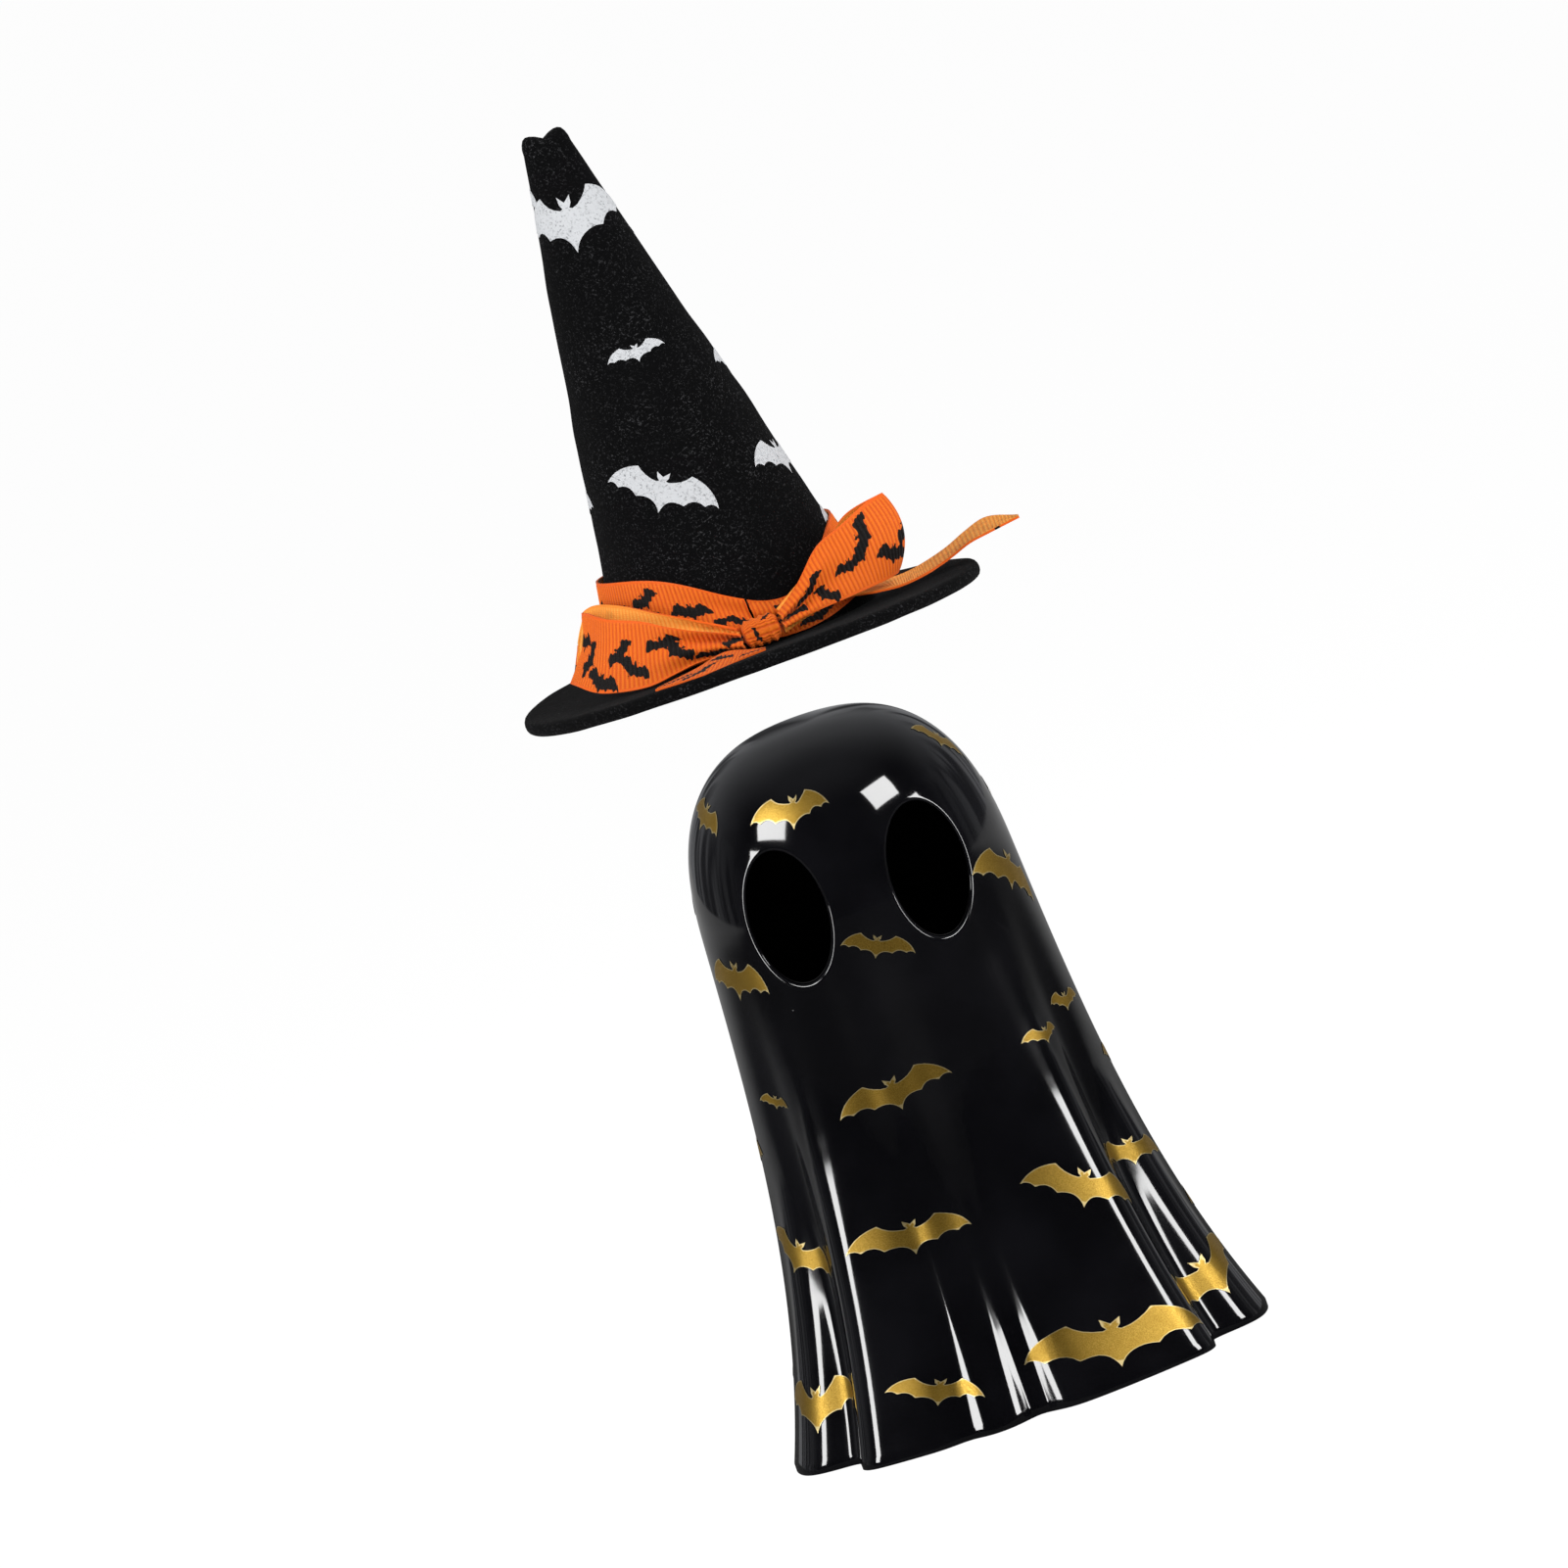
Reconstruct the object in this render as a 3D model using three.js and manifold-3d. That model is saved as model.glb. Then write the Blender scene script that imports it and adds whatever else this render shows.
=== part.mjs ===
// A light-up ceramic ghost with a felt witch hat, shown with its hat lifted off.
// Millimetres, +Z up, front towards -Y. The origin is the centre of the foot, on the table.
// Angles round an upright axis are in degrees, counted from the front (-Y) towards the right (+X).
import * as THREE from 'three';
import { mergeVertices } from 'three/addons/utils/BufferGeometryUtils.js';
import Module from 'manifold-3d';

const wasm = await Module();
wasm.setup();

// Fits
const seatGap = 0.3;             // between two pieces that rest on each other
const runGap = 0.35;             // round a piece that slides or turns

// Ghost: a slip-cast gown under a rounded head
const ghostHeight = 152.4;
const headHeight = 40;           // the rounded head, down to the shoulder
const headSquareness = 2.65;     // 2 is an ellipse, more is fuller
const shoulderRadius = 34.75;
const gownTaper = 6.5;           // even widening from shoulder to hem
const hemFlare = 12.7;           // extra widening that comes in towards the hem
const shellWall = 3.6;
const hemRounding = 1.6;
const footWidth = 4.4;           // bare ring that the ghost stands on
const footHeight = 4.8;          // the floor is raised by this over the table
const floorThickness = 4.5;
const baseHoleRadius = 20.5;
const shellSegments = 72;

// Folds of the gown, each a valley that deepens towards the hem
const frontFold = { depth: 3.1, width: 6.5, growth: 1.7 };
const sideFold = { depth: 7.4, width: 8.5, growth: 1.25 };
const backFold = { depth: 6.2, width: 10, growth: 1.4 };
const pleat = { depth: 0.9, width: 5, growth: 2.2 };
const folds = [
  { angle: 0, ...frontFold },
  { angle: -60, ...sideFold },
  { angle: 60, ...sideFold },
  { angle: -115, ...backFold },
  { angle: 115, ...backFold },
  { angle: 180, ...frontFold },
  { angle: -20, ...pleat },
  { angle: 145, ...pleat },
];

// Eyes: upright ovals through the front wall
const eyeSpacing = 30.6;
const eyeHeight = 117.5;
const eyeWidth = 15.6;
const eyeLength = 29;
const eyeTilt = 2.8;             // both lean this way, as cut by hand
const eyeSegments = 32;

// Hat of thin felt
const brimRadius = 51.2;
const brimThickness = 3.2;
const brimHoleRadius = 27;
const hatHeight = 122;           // from the underside of the brim to the tip
const hatLift = 26.9;            // how far above its seat the hat is shown
const hatOffset = 3.85;          // how far to the left of the head it is shown
const coneBaseRadius = 29;
const coneTipRadius = 4.2;
const feltThickness = 2;
const coneLean = 0.056;          // sideways, to the left, for each millimetre of height
const tipPinch = 0.62;           // depth of the pinched tip as a share of its width
const tipNotch = 2.6;
const pinchLength = 22;
const hatSegments = 44;

// Ribbon round the hat, tied in a bow at the front
const ribbonWidth = 16;
const ribbonThickness = 0.6;
const bandRise = 2.2;            // lower edge of the band above the brim
const bandTilt = 1.8;            // higher on the left by this, lower on the right
const bandDip = 4.6;             // middle of the band lower by this at the knot
const knotReach = 45;            // degrees to each side over which the knot gathers the band
const knotGather = 0.42;         // share of its width that the band loses at the knot
const knotAngle = 9;
const knotWidth = 8;
const knotDepth = 6.4;
const knotHeight = 9.4;
const loopSteps = 30;
const tailSteps = 12;

// Light module that is pressed into the hole in the floor
const moduleRadius = 17.2;
const moduleWall = 1.4;
const moduleHeight = 20;
const flangeRadius = 24.5;
const flangeThickness = 3;
const plateThickness = 5;
const pocketOffset = -5;         // the cells sit to the left of the middle
const sealRibs = 3;
const sealRibDepth = 0.9;

// Coin cells and their door
const cellRadius = 10;
const cellThickness = 3.2;
const cellGap = 0.2;
const doorRadius = 12.6;
const doorThickness = 2;
const doorLugs = 3;
const lugReach = 1.3;
const lugThickness = 0.7;
const lugAngle = 24;
const doorTwist = 35;
const coinSlotLength = 14;
const coinSlotWidth = 1.9;
const coinSlotDepth = 0.8;
const sealRingThickness = 1.1;

// Board, switch and lamp
const boardRadius = 15.3;
const boardThickness = 1.2;
const boardLift = 3.1;           // room for the spring between the cells and the board
const switchOffset = 12.6;
const switchLength = 8.6;
const switchWidth = 3.7;
const switchHeight = 3.6;
const switchTravel = 3;
const knobLength = 4.4;
const knobWidth = 3.2;
const knobThickness = 1.6;
const knobProud = 0.4;           // how far the knob stands out of the module's underside
const stemReach = 1.6;           // how far the stem goes up into the switch
const stemLength = 2;
const stemWidth = 1.6;
const lampRadius = 2.5;
const lampHeight = 8.6;
const lampFlange = 0.45;
const lampFlangeThickness = 1;
const leadRadius = 0.3;
const leadSpacing = 2.54;
const lidThickness = 1.8;
const diffuserRadius = 9;
const diffuserHeight = 17;
const diffuserWall = 1.2;
const screwRadius = 1;
const screwHeadRadius = 2.1;
const screwHeadHeight = 1.3;
const screwLength = 9;
const postRadius = 2.5;
const postAngles = [17.5, 162.5];
const stripWidth = 4;
const stripThickness = 0.4;
const resistorOffset = -8;

// Heights of the module's pieces, worked out from the floor down and from the door up
const flangeTop = footHeight - seatGap;
const moduleBottom = flangeTop - flangeThickness;
const plateTop = moduleBottom + plateThickness;
const doorTop = moduleBottom + doorThickness;
const ringBottom = doorTop + seatGap;
const ledgeTop = ringBottom + sealRingThickness + seatGap;
const footBottom = ledgeTop + seatGap;
const cellBottom = footBottom + stripThickness + seatGap;
const cellTop = cellBottom + 2 * cellThickness + cellGap;
const boardBottom = cellTop + boardLift;
const boardTop = boardBottom + boardThickness;
const shelfTop = boardBottom - seatGap;
const moduleTop = moduleBottom + moduleHeight;
const lidBottom = moduleTop + seatGap;
const lidTop = lidBottom + lidThickness;
const lampBottom = lidTop + seatGap;
const knobTop = moduleBottom - knobProud + knobThickness;
const switchBottom = plateTop + seatGap;
const stemTop = switchBottom + stemReach;
const pocketRadius = cellRadius + runGap;
const postDistance = moduleRadius - moduleWall - postRadius;

const rad = THREE.MathUtils.degToRad;
const facing = (angle) => new THREE.Vector3(Math.sin(rad(angle)), -Math.cos(rad(angle)), 0);

// Materials

const finish = (color, roughness, metalness = 0) => (
  new THREE.MeshStandardMaterial({ color, roughness, metalness })
);
const glaze = finish(0x0c0c0e, 0.08);
const felt = finish(0x171718, 0.95);
const ribbon = finish(0xee6c14, 0.6);
const darkPlastic = finish(0x1c1c1e, 0.5);
const silicone = finish(0xb9b4a8, 0.6);
const greenBoard = finish(0x1f5a35, 0.45);
const steel = finish(0xb8bcc0, 0.3, 1);
const springMetal = finish(0xc9b06a, 0.35, 1);
const lampResin = finish(0xfff2d0, 0.15);
const frosted = finish(0xf4f2ea, 0.55);
const ceramicChip = finish(0x222222, 0.5);

// Helpers

// Points only, with shared corners merged and every face turned outwards.
function tidy(geometry) {
  const bare = geometry.clone();
  for (const name of Object.keys(bare.attributes)) {
    if (name !== 'position') {
      bare.deleteAttribute(name);
    }
  }
  const merged = mergeVertices(bare, 1e-4);
  const place = merged.attributes.position;
  const corners = [];
  const index = merged.index.array;
  for (let i = 0; i < index.length; i += 3) {
    const [a, b, c] = [index[i], index[i + 1], index[i + 2]];
    if (a !== b && b !== c && c !== a) {
      corners.push(a, b, c);
    }
  }
  const point = (i) => new THREE.Vector3().fromBufferAttribute(place, i);
  let volume = 0;
  for (let i = 0; i < corners.length; i += 3) {
    const across = point(corners[i + 1]).cross(point(corners[i + 2]));
    volume += point(corners[i]).dot(across);
  }
  if (volume < 0) {
    corners.reverse();
  }
  merged.setIndex(corners);
  return merged;
}

function toManifold(geometry) {
  const closed = tidy(geometry);
  return new wasm.Manifold(new wasm.Mesh({
    numProp: 3,
    vertProperties: new Float32Array(closed.attributes.position.array),
    triVerts: new Uint32Array(closed.index.array),
  }));
}

function toGeometry(manifold) {
  const mesh = manifold.getMesh();
  const geometry = new THREE.BufferGeometry();
  geometry.setAttribute('position', new THREE.BufferAttribute(mesh.vertProperties, 3));
  geometry.setIndex(new THREE.BufferAttribute(mesh.triVerts, 1));
  return geometry;
}

function join(...geometries) {
  const [first, ...rest] = geometries.map(toManifold);
  return toGeometry(rest.reduce((sum, next) => sum.add(next), first));
}

function cut(geometry, ...tools) {
  return toGeometry(tools.map(toManifold).reduce((left, tool) => left.subtract(tool), toManifold(geometry)));
}

// Moves every point of a geometry by a rule.
function reshape(geometry, rule) {
  const place = geometry.attributes.position;
  const point = new THREE.Vector3();
  for (let i = 0; i < place.count; i += 1) {
    point.fromBufferAttribute(place, i);
    rule(point);
    place.setXYZ(i, point.x, point.y, point.z);
  }
  return geometry;
}

// Revolves [radius, height] pairs round the upright axis, seam at the front.
function revolve(profile, segments) {
  const points = profile.map(([radius, height]) => new THREE.Vector2(radius, height));
  return new THREE.LatheGeometry(points, segments).rotateX(Math.PI / 2);
}

function ring(inner, outer, bottom, top, segments) {
  return revolve([[inner, bottom], [outer, bottom], [outer, top], [inner, top], [inner, bottom]], segments);
}

function disc(radius, bottom, top, segments, x = 0, y = 0) {
  return new THREE.CylinderGeometry(radius, radius, top - bottom, segments)
    .rotateX(Math.PI / 2)
    .translate(x, y, (bottom + top) / 2);
}

function block(width, depth, bottom, top, x = 0, y = 0) {
  return new THREE.BoxGeometry(width, depth, top - bottom).translate(x, y, (bottom + top) / 2);
}

// A piece of a ring between two angles, as a flat plate.
function sector(inner, outer, middle, spread, bottom, top) {
  const shape = new THREE.Shape();
  const start = rad(middle - spread / 2);
  const end = rad(middle + spread / 2);
  shape.absarc(0, 0, outer, start, end, false);
  shape.absarc(0, 0, inner, end, start, true);
  shape.closePath();
  const plate = new THREE.ExtrudeGeometry(shape, { depth: top - bottom, bevelEnabled: false, curveSegments: 4 });
  return plate.translate(0, 0, bottom);
}

// Ghost shell

const shoulderHeight = ghostHeight - headHeight;
const slope = (height) => (shoulderHeight - height) / shoulderHeight;

// Radius of the gown or head without its folds.
function bodyRadius(height) {
  const down = slope(height);
  if (height <= shoulderHeight) {
    return shoulderRadius + gownTaper * down + hemFlare * down ** 3;
  }
  const up = Math.min((height - shoulderHeight) / headHeight, 1);
  const round = (1 - up ** headSquareness) ** (1 / headSquareness);
  return (shoulderRadius + gownTaper * down) * round;
}

// How far the folds draw the wall in at an angle and a height.
function foldDepth(angle, height) {
  const down = Math.max(slope(height), 0);
  return folds.reduce((sum, fold) => {
    const turn = THREE.MathUtils.euclideanModulo(angle - fold.angle + 180, 360) - 180;
    return sum + fold.depth * down ** fold.growth * Math.exp(-((turn / fold.width) ** 2));
  }, 0);
}

const floorTop = footHeight + floorThickness;

function ghostShell() {
  const gownRings = [0.055, 0.12, 0.2, 0.29, 0.39, 0.5, 0.61, 0.72, 0.82, 0.91, 1];
  const headRings = [14, 27, 39, 50, 60, 70, 80];
  const headAt = (angle) => shoulderHeight + headHeight * Math.sin(rad(angle));
  const footRadius = bodyRadius(0);
  const outside = [
    [footRadius - hemRounding, 0],
    [footRadius - hemRounding * 0.3, hemRounding * 0.3],
    ...[hemRounding, ...gownRings.map((share) => shoulderHeight * share), ...headRings.map(headAt)]
      .map((height) => [bodyRadius(height), height]),
    [0, ghostHeight],
  ];
  const insideHeights = gownRings
    .filter((share, i) => i % 2 === 0 && share > 0.1)
    .map((share) => shoulderHeight * share)
    .reverse();
  const inside = [
    [0, ghostHeight - shellWall],
    ...headRings.slice(0, -1).reverse().map(headAt).map((height) => [
      bodyRadius(height) * (1 - shellWall / shoulderRadius),
      shoulderHeight + (height - shoulderHeight) * (1 - shellWall / headHeight),
    ]),
    ...insideHeights.map((height) => [bodyRadius(height) - shellWall, height]),
    [bodyRadius(floorTop) - shellWall, floorTop + 3],
    [bodyRadius(floorTop) - shellWall - 3, floorTop],
    [baseHoleRadius, floorTop],
    [baseHoleRadius, footHeight],
    [footRadius - hemRounding - footWidth - 1, footHeight],
    [footRadius - hemRounding - footWidth, 0],
  ];
  const body = revolve([...inside, ...outside], shellSegments);
  reshape(body, (point) => {
    const radius = Math.hypot(point.x, point.y);
    const angle = THREE.MathUtils.radToDeg(Math.atan2(point.x, -point.y));
    const wallRadius = bodyRadius(point.z) - shellWall - footWidth;
    const share = THREE.MathUtils.clamp((radius - baseHoleRadius) / (wallRadius - baseHoleRadius), 0, 1);
    const scale = radius > 0 ? 1 - share * foldDepth(angle, point.z) / radius : 1;
    point.set(point.x * scale, point.y * scale, point.z);
  });
  return cut(body, eyeTool(-1), eyeTool(1));
}

// The oval cutter for one eye: it goes through the front wall and ends in the hollow.
function eyeTool(side) {
  const oval = new THREE.Shape();
  oval.absellipse(0, 0, eyeWidth / 2, eyeLength / 2, 0, Math.PI * 2, false, rad(-eyeTilt));
  const depth = bodyRadius(eyeHeight) + shellWall;
  return new THREE.ExtrudeGeometry(oval, { depth, bevelEnabled: false, curveSegments: eyeSegments / 4 })
    .rotateX(Math.PI / 2)
    .translate(side * eyeSpacing / 2, 0, eyeHeight);
}

// Hat

// Height of the brim's underside when the hat is worn: its hole rests on the head.
function seatHeight() {
  let low = shoulderHeight;
  let high = ghostHeight;
  for (let i = 0; i < 40; i += 1) {
    const middle = (low + high) / 2;
    if (bodyRadius(middle) > brimHoleRadius - seatGap) {
      low = middle;
    } else {
      high = middle;
    }
  }
  return high;
}

const coneHeight = hatHeight - brimThickness - seatGap;
const coneRadius = (up) => coneBaseRadius - (coneBaseRadius - coneTipRadius) * up / coneHeight;
const coneShift = (up) => -coneLean * up;

function hatBrim() {
  const round = brimThickness * 0.3;
  return revolve([
    [brimHoleRadius, 0],
    [brimRadius - round, 0],
    [brimRadius, round],
    [brimRadius, brimThickness - round],
    [brimRadius - round, brimThickness],
    [brimHoleRadius, brimThickness],
    [brimHoleRadius, 0],
  ], hatSegments + 12);
}

function hatCone() {
  const rows = [0.1, 0.2, 0.32, 0.44, 0.56, 0.68, 0.78, 0.86, 0.92, 0.965];
  const rise = (share) => coneHeight * share;
  const inner = rows.filter((share, i) => i % 2 === 1 && share < 0.9).map(rise);
  const profile = [
    [0, coneHeight - 4 * feltThickness],
    ...inner.reverse().map((up) => [coneRadius(up) - feltThickness, up]),
    [coneBaseRadius - feltThickness, 0],
    [coneBaseRadius, 0],
    ...rows.map(rise).map((up) => [coneRadius(up), up]),
    [coneTipRadius * 0.6, coneHeight],
    [0, coneHeight],
  ];
  const cone = revolve(profile, hatSegments);
  return reshape(cone, (point) => {
    const near = THREE.MathUtils.smoothstep(point.z, coneHeight - pinchLength, coneHeight);
    const middle = 1 - Math.min(Math.abs(point.x) / coneTipRadius, 1);
    point.y *= THREE.MathUtils.lerp(1, tipPinch, near);
    const drop = tipNotch * middle * near ** 6;
    point.x += coneShift(point.z);
    point.z -= drop;
  }).translate(0, 0, brimThickness + seatGap);
}

// Ribbon

const nearKnot = (angle) => Math.exp(-(((angle - knotAngle) / knotReach) ** 2));
const bandMiddle = (angle) => (
  ribbonWidth / 2 + bandRise - bandTilt * Math.sin(rad(angle)) - bandDip * nearKnot(angle)
);
const bandHalf = (angle) => ribbonWidth / 2 * (1 - knotGather * nearKnot(angle));
const bandFace = (up) => coneRadius(up) + seatGap + ribbonThickness;

function ribbonBand() {
  // The two radii and two heights of this profile only tell the four corners apart.
  const band = ring(1, 2, -1, 1, hatSegments + 12);
  return reshape(band, (point) => {
    const angle = THREE.MathUtils.radToDeg(Math.atan2(point.x, -point.y));
    const outer = Math.hypot(point.x, point.y) > 1.5;
    const up = bandMiddle(angle) + bandHalf(angle) * point.z;
    const radius = outer ? bandFace(up) : coneRadius(up) + seatGap;
    point.copy(facing(angle)).multiplyScalar(radius);
    point.x += coneShift(up);
    point.z = brimThickness + seatGap + up;
  });
}

const knotMiddle = bandMiddle(knotAngle);
const knotRadius = bandFace(knotMiddle - bandHalf(knotAngle)) + seatGap + knotDepth / 2;

function ribbonKnot() {
  const blunt = (value) => Math.sign(value) * Math.abs(value) ** 0.6;
  const knot = new THREE.SphereGeometry(1, 16, 10).rotateX(Math.PI / 2);
  reshape(knot, (point) => {
    point.set(blunt(point.x), blunt(point.y), blunt(point.z));
  });
  knot.scale(knotWidth / 2, knotDepth / 2, knotHeight / 2).rotateZ(rad(knotAngle));
  const middle = facing(knotAngle).multiplyScalar(knotRadius);
  return knot.translate(middle.x, middle.y, brimThickness + seatGap + Math.max(knotMiddle, knotHeight / 2));
}

// A stretch of ribbon on edge or lying down. Each stop gives a point of its lower edge, as an angle
// round the hat, a distance beyond the foot of the cone and a height above the brim; then how far
// the ribbon leans from upright, how much of its width shows there, and the way that it leans.
function ribbonStrip(stops, steps) {
  const lower = stops.map(({ angle, out, up }) => {
    const point = facing(angle).multiplyScalar(coneBaseRadius + out);
    return point.setZ(brimThickness + up);
  });
  const upper = stops.map(({ angle, lean, width, inward = angle }, i) => {
    const across = facing(inward).multiplyScalar(-Math.sin(rad(lean))).setZ(Math.cos(rad(lean)));
    return across.multiplyScalar(ribbonWidth * width).add(lower[i]);
  });
  const lowEdge = new THREE.CatmullRomCurve3(lower, false, 'centripetal');
  const highEdge = new THREE.CatmullRomCurve3(upper, false, 'centripetal');
  const strip = new THREE.BoxGeometry(1, 1, ribbonThickness, steps, 1, 1);
  return reshape(strip, (point) => {
    const along = THREE.MathUtils.clamp(point.x + 0.5, 0, 1);
    const low = lowEdge.getPoint(along);
    const high = highEdge.getPoint(along);
    const run = lowEdge.getTangent(along).add(highEdge.getTangent(along));
    const side = run.cross(new THREE.Vector3().subVectors(high, low)).normalize();
    const offset = side.multiplyScalar(point.z);
    point.copy(low.lerp(high, point.y + 0.5)).add(offset);
  });
}

// The stop at the knot's left or right side, on its outer or inner half.
function atKnot(side, half, up, width) {
  const radius = knotRadius + half * knotDepth * 0.25;
  const sideways = knotWidth / 2 + seatGap + ribbonThickness / 2;
  return {
    angle: knotAngle + side * THREE.MathUtils.radToDeg(Math.atan2(sideways, radius)),
    out: Math.hypot(sideways, radius) - coneBaseRadius,
    up,
    lean: 0,
    width,
  };
}

const rest = ribbonThickness / 2 + seatGap;    // lowest height of a ribbon's middle over the brim

const leftLoop = [
  atKnot(-1, 1, rest + 0.6, 0.52),
  { angle: -18, out: 7.3, up: rest, lean: 16, width: 0.84 },
  { angle: -36, out: 10.5, up: rest, lean: 24, width: 0.94 },
  { angle: -52, out: 12.7, up: rest + 0.8, lean: 27, width: 1 },
  { angle: -67, out: 13.0, up: rest + 2.2, lean: 29, width: 1 },
  { angle: -78, out: 11.6, up: rest + 3.6, lean: 29, width: 1 },
  { angle: -74, out: 7.6, up: rest + 3.4, lean: 22, width: 1 },
  { angle: -53, out: 5.6, up: rest + 2, lean: 17, width: 1 },
  { angle: -30, out: 4.2, up: rest + 1, lean: 10, width: 0.86 },
  atKnot(-1, -1, rest + 0.6, 0.5),
];

const rightLoop = [
  atKnot(1, 1, rest + 1.2, 0.5),
  { angle: 29, out: 7.6, up: rest + 3, lean: 6, width: 0.72 },
  { angle: 45, out: 10.1, up: rest + 4, lean: 7, width: 0.92 },
  { angle: 59, out: 12.0, up: rest + 4, lean: 4, width: 1.04 },
  { angle: 69.5, out: 11.6, up: rest + 3.6, lean: 0, width: 1.06 },
  { angle: 70, out: 8.0, up: rest + 3.4, lean: 0, width: 1.04 },
  { angle: 56.5, out: 5.6, up: rest + 3.2, lean: 3, width: 0.96 },
  { angle: 34, out: 4.3, up: rest + 2.6, lean: 4, width: 0.72 },
  atKnot(1, -1, rest + 1.2, 0.48),
];

const rightTail = [
  { angle: 15.5, out: 8.5, up: rest, lean: 86, width: 0.3, inward: 8 },
  { angle: 26, out: 11.5, up: rest, lean: 86, width: 0.62, inward: 10 },
  { angle: 38, out: 18.5, up: rest + 0.4, lean: 85, width: 0.86, inward: 14 },
  { angle: 50, out: 26, up: rest + 2.2, lean: 82, width: 0.9, inward: 20 },
  { angle: 58, out: 33, up: rest + 4.2, lean: 76, width: 0.8, inward: 26 },
  { angle: 65.5, out: 38, up: rest + 6.6, lean: 70, width: 0.35, inward: 30 },
];

const leftTail = [
  { angle: 5, out: 9.6, up: rest, lean: 87, width: 0.18, inward: -8 },
  { angle: -5, out: 14.5, up: rest, lean: 87, width: 0.45, inward: -20 },
  { angle: -16, out: 18.6, up: rest, lean: 87, width: 0.55, inward: -24 },
  { angle: -25.5, out: 21.2, up: rest, lean: 87, width: 0.3, inward: -28 },
];

// Light module

const lugRadius = doorRadius + lugReach;
const recessRadius = doorRadius + runGap;
const grooveRadius = lugRadius + runGap;
const lugBottom = doorTop - lugThickness;
const posts = postAngles.map((angle) => facing(angle).multiplyScalar(postDistance));

function moduleHousing() {
  const flange = disc(flangeRadius, moduleBottom, flangeTop, 40);
  const cup = disc(moduleRadius, flangeTop - 0.5, moduleTop, 36);
  const pocketWall = disc(pocketRadius + moduleWall, plateTop - 1, shelfTop, 32, pocketOffset);
  const postColumns = posts.map(({ x, y }) => disc(postRadius, plateTop - 1, moduleTop + 2, 14, x, y));
  const room = disc(moduleRadius - moduleWall, plateTop, moduleTop + 1, 36);
  const pilots = posts.map(({ x, y }) => (
    disc(screwRadius + seatGap, lidTop - screwLength - 1, moduleTop + 1, 12, x, y)
  ));
  const knobBay = block(
    knobWidth + 2 * runGap,
    knobLength + switchTravel + 2 * runGap,
    moduleBottom - 1,
    knobTop + runGap,
    switchOffset,
  );
  const stemBay = block(
    stemWidth + 2 * runGap,
    stemLength + switchTravel + 2 * runGap,
    moduleBottom - 1,
    plateTop + 1,
    switchOffset,
  );
  const stripBay = block(
    2 * (stripThickness + runGap),
    stripWidth + 2 * runGap,
    ledgeTop + 0.2,
    shelfTop + 1,
    pocketOffset - pocketRadius,
  );
  return cut(
    join(flange, cup),
    cut(room, pocketWall, ...postColumns),
    disc(pocketRadius, moduleBottom - 1, shelfTop + 1, 32, pocketOffset),
    disc(recessRadius, moduleBottom - 1, ledgeTop, 32, pocketOffset),
    disc(grooveRadius, lugBottom - runGap, doorTop + runGap, 32, pocketOffset),
    ...lugPlates(doorTwist, lugAngle + 6, moduleBottom - 1, doorTop, grooveRadius),
    ...pilots,
    knobBay,
    stemBay,
    stripBay,
  );
}

// The door's lugs, or the notches that let them in, turned by an angle from the locked place.
function lugPlates(turn, spread, bottom, top, outer) {
  return Array.from({ length: doorLugs }, (unused, i) => (
    sector(doorRadius - 1, outer, turn + i * 360 / doorLugs, spread, bottom, top)
      .translate(pocketOffset, 0, 0)
  ));
}

function batteryDoor() {
  const slot = block(
    coinSlotLength,
    coinSlotWidth,
    moduleBottom - 1,
    moduleBottom + coinSlotDepth,
    pocketOffset,
  );
  const face = disc(doorRadius, moduleBottom, doorTop, 32, pocketOffset);
  const boss = disc(pocketRadius - runGap, doorTop - 0.2, ledgeTop, 32, pocketOffset);
  return cut(join(face, boss, ...lugPlates(0, lugAngle, lugBottom, doorTop, lugRadius)), slot);
}

function doorSeal() {
  const inner = pocketRadius - runGap + seatGap;
  const outer = recessRadius - seatGap;
  const soft = sealRingThickness * 0.3;
  return revolve([
    [inner, ringBottom],
    [outer - soft, ringBottom],
    [outer, ringBottom + soft],
    [outer, ringBottom + sealRingThickness - soft],
    [outer - soft, ringBottom + sealRingThickness],
    [inner, ringBottom + sealRingThickness],
    [inner, ringBottom],
  ], 26).translate(pocketOffset, 0, 0);
}

// A coin cell: a can with a rounded lower edge, and a smaller cap on top.
function coinCell(bottom) {
  const top = bottom + cellThickness;
  const rounding = cellThickness * 0.12;
  return revolve([
    [0, bottom],
    [cellRadius - rounding, bottom],
    [cellRadius, bottom + rounding],
    [cellRadius, top - rounding],
    [cellRadius * 0.88, top - rounding],
    [cellRadius * 0.84, top],
    [0, top],
  ], 28).translate(pocketOffset, 0, 0);
}

// The strip that stands beside the cells and runs under the lower one.
function sideContact() {
  const outer = pocketOffset - cellRadius - seatGap - stripThickness;
  const profile = new THREE.Shape();
  profile.moveTo(outer, footBottom);
  profile.lineTo(pocketOffset - cellRadius / 3, footBottom);
  profile.lineTo(pocketOffset - cellRadius / 3, footBottom + stripThickness);
  profile.lineTo(outer + stripThickness, footBottom + stripThickness);
  profile.lineTo(outer + stripThickness, shelfTop);
  profile.lineTo(outer, shelfTop);
  profile.closePath();
  return pressedStrip(profile);
}

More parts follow.
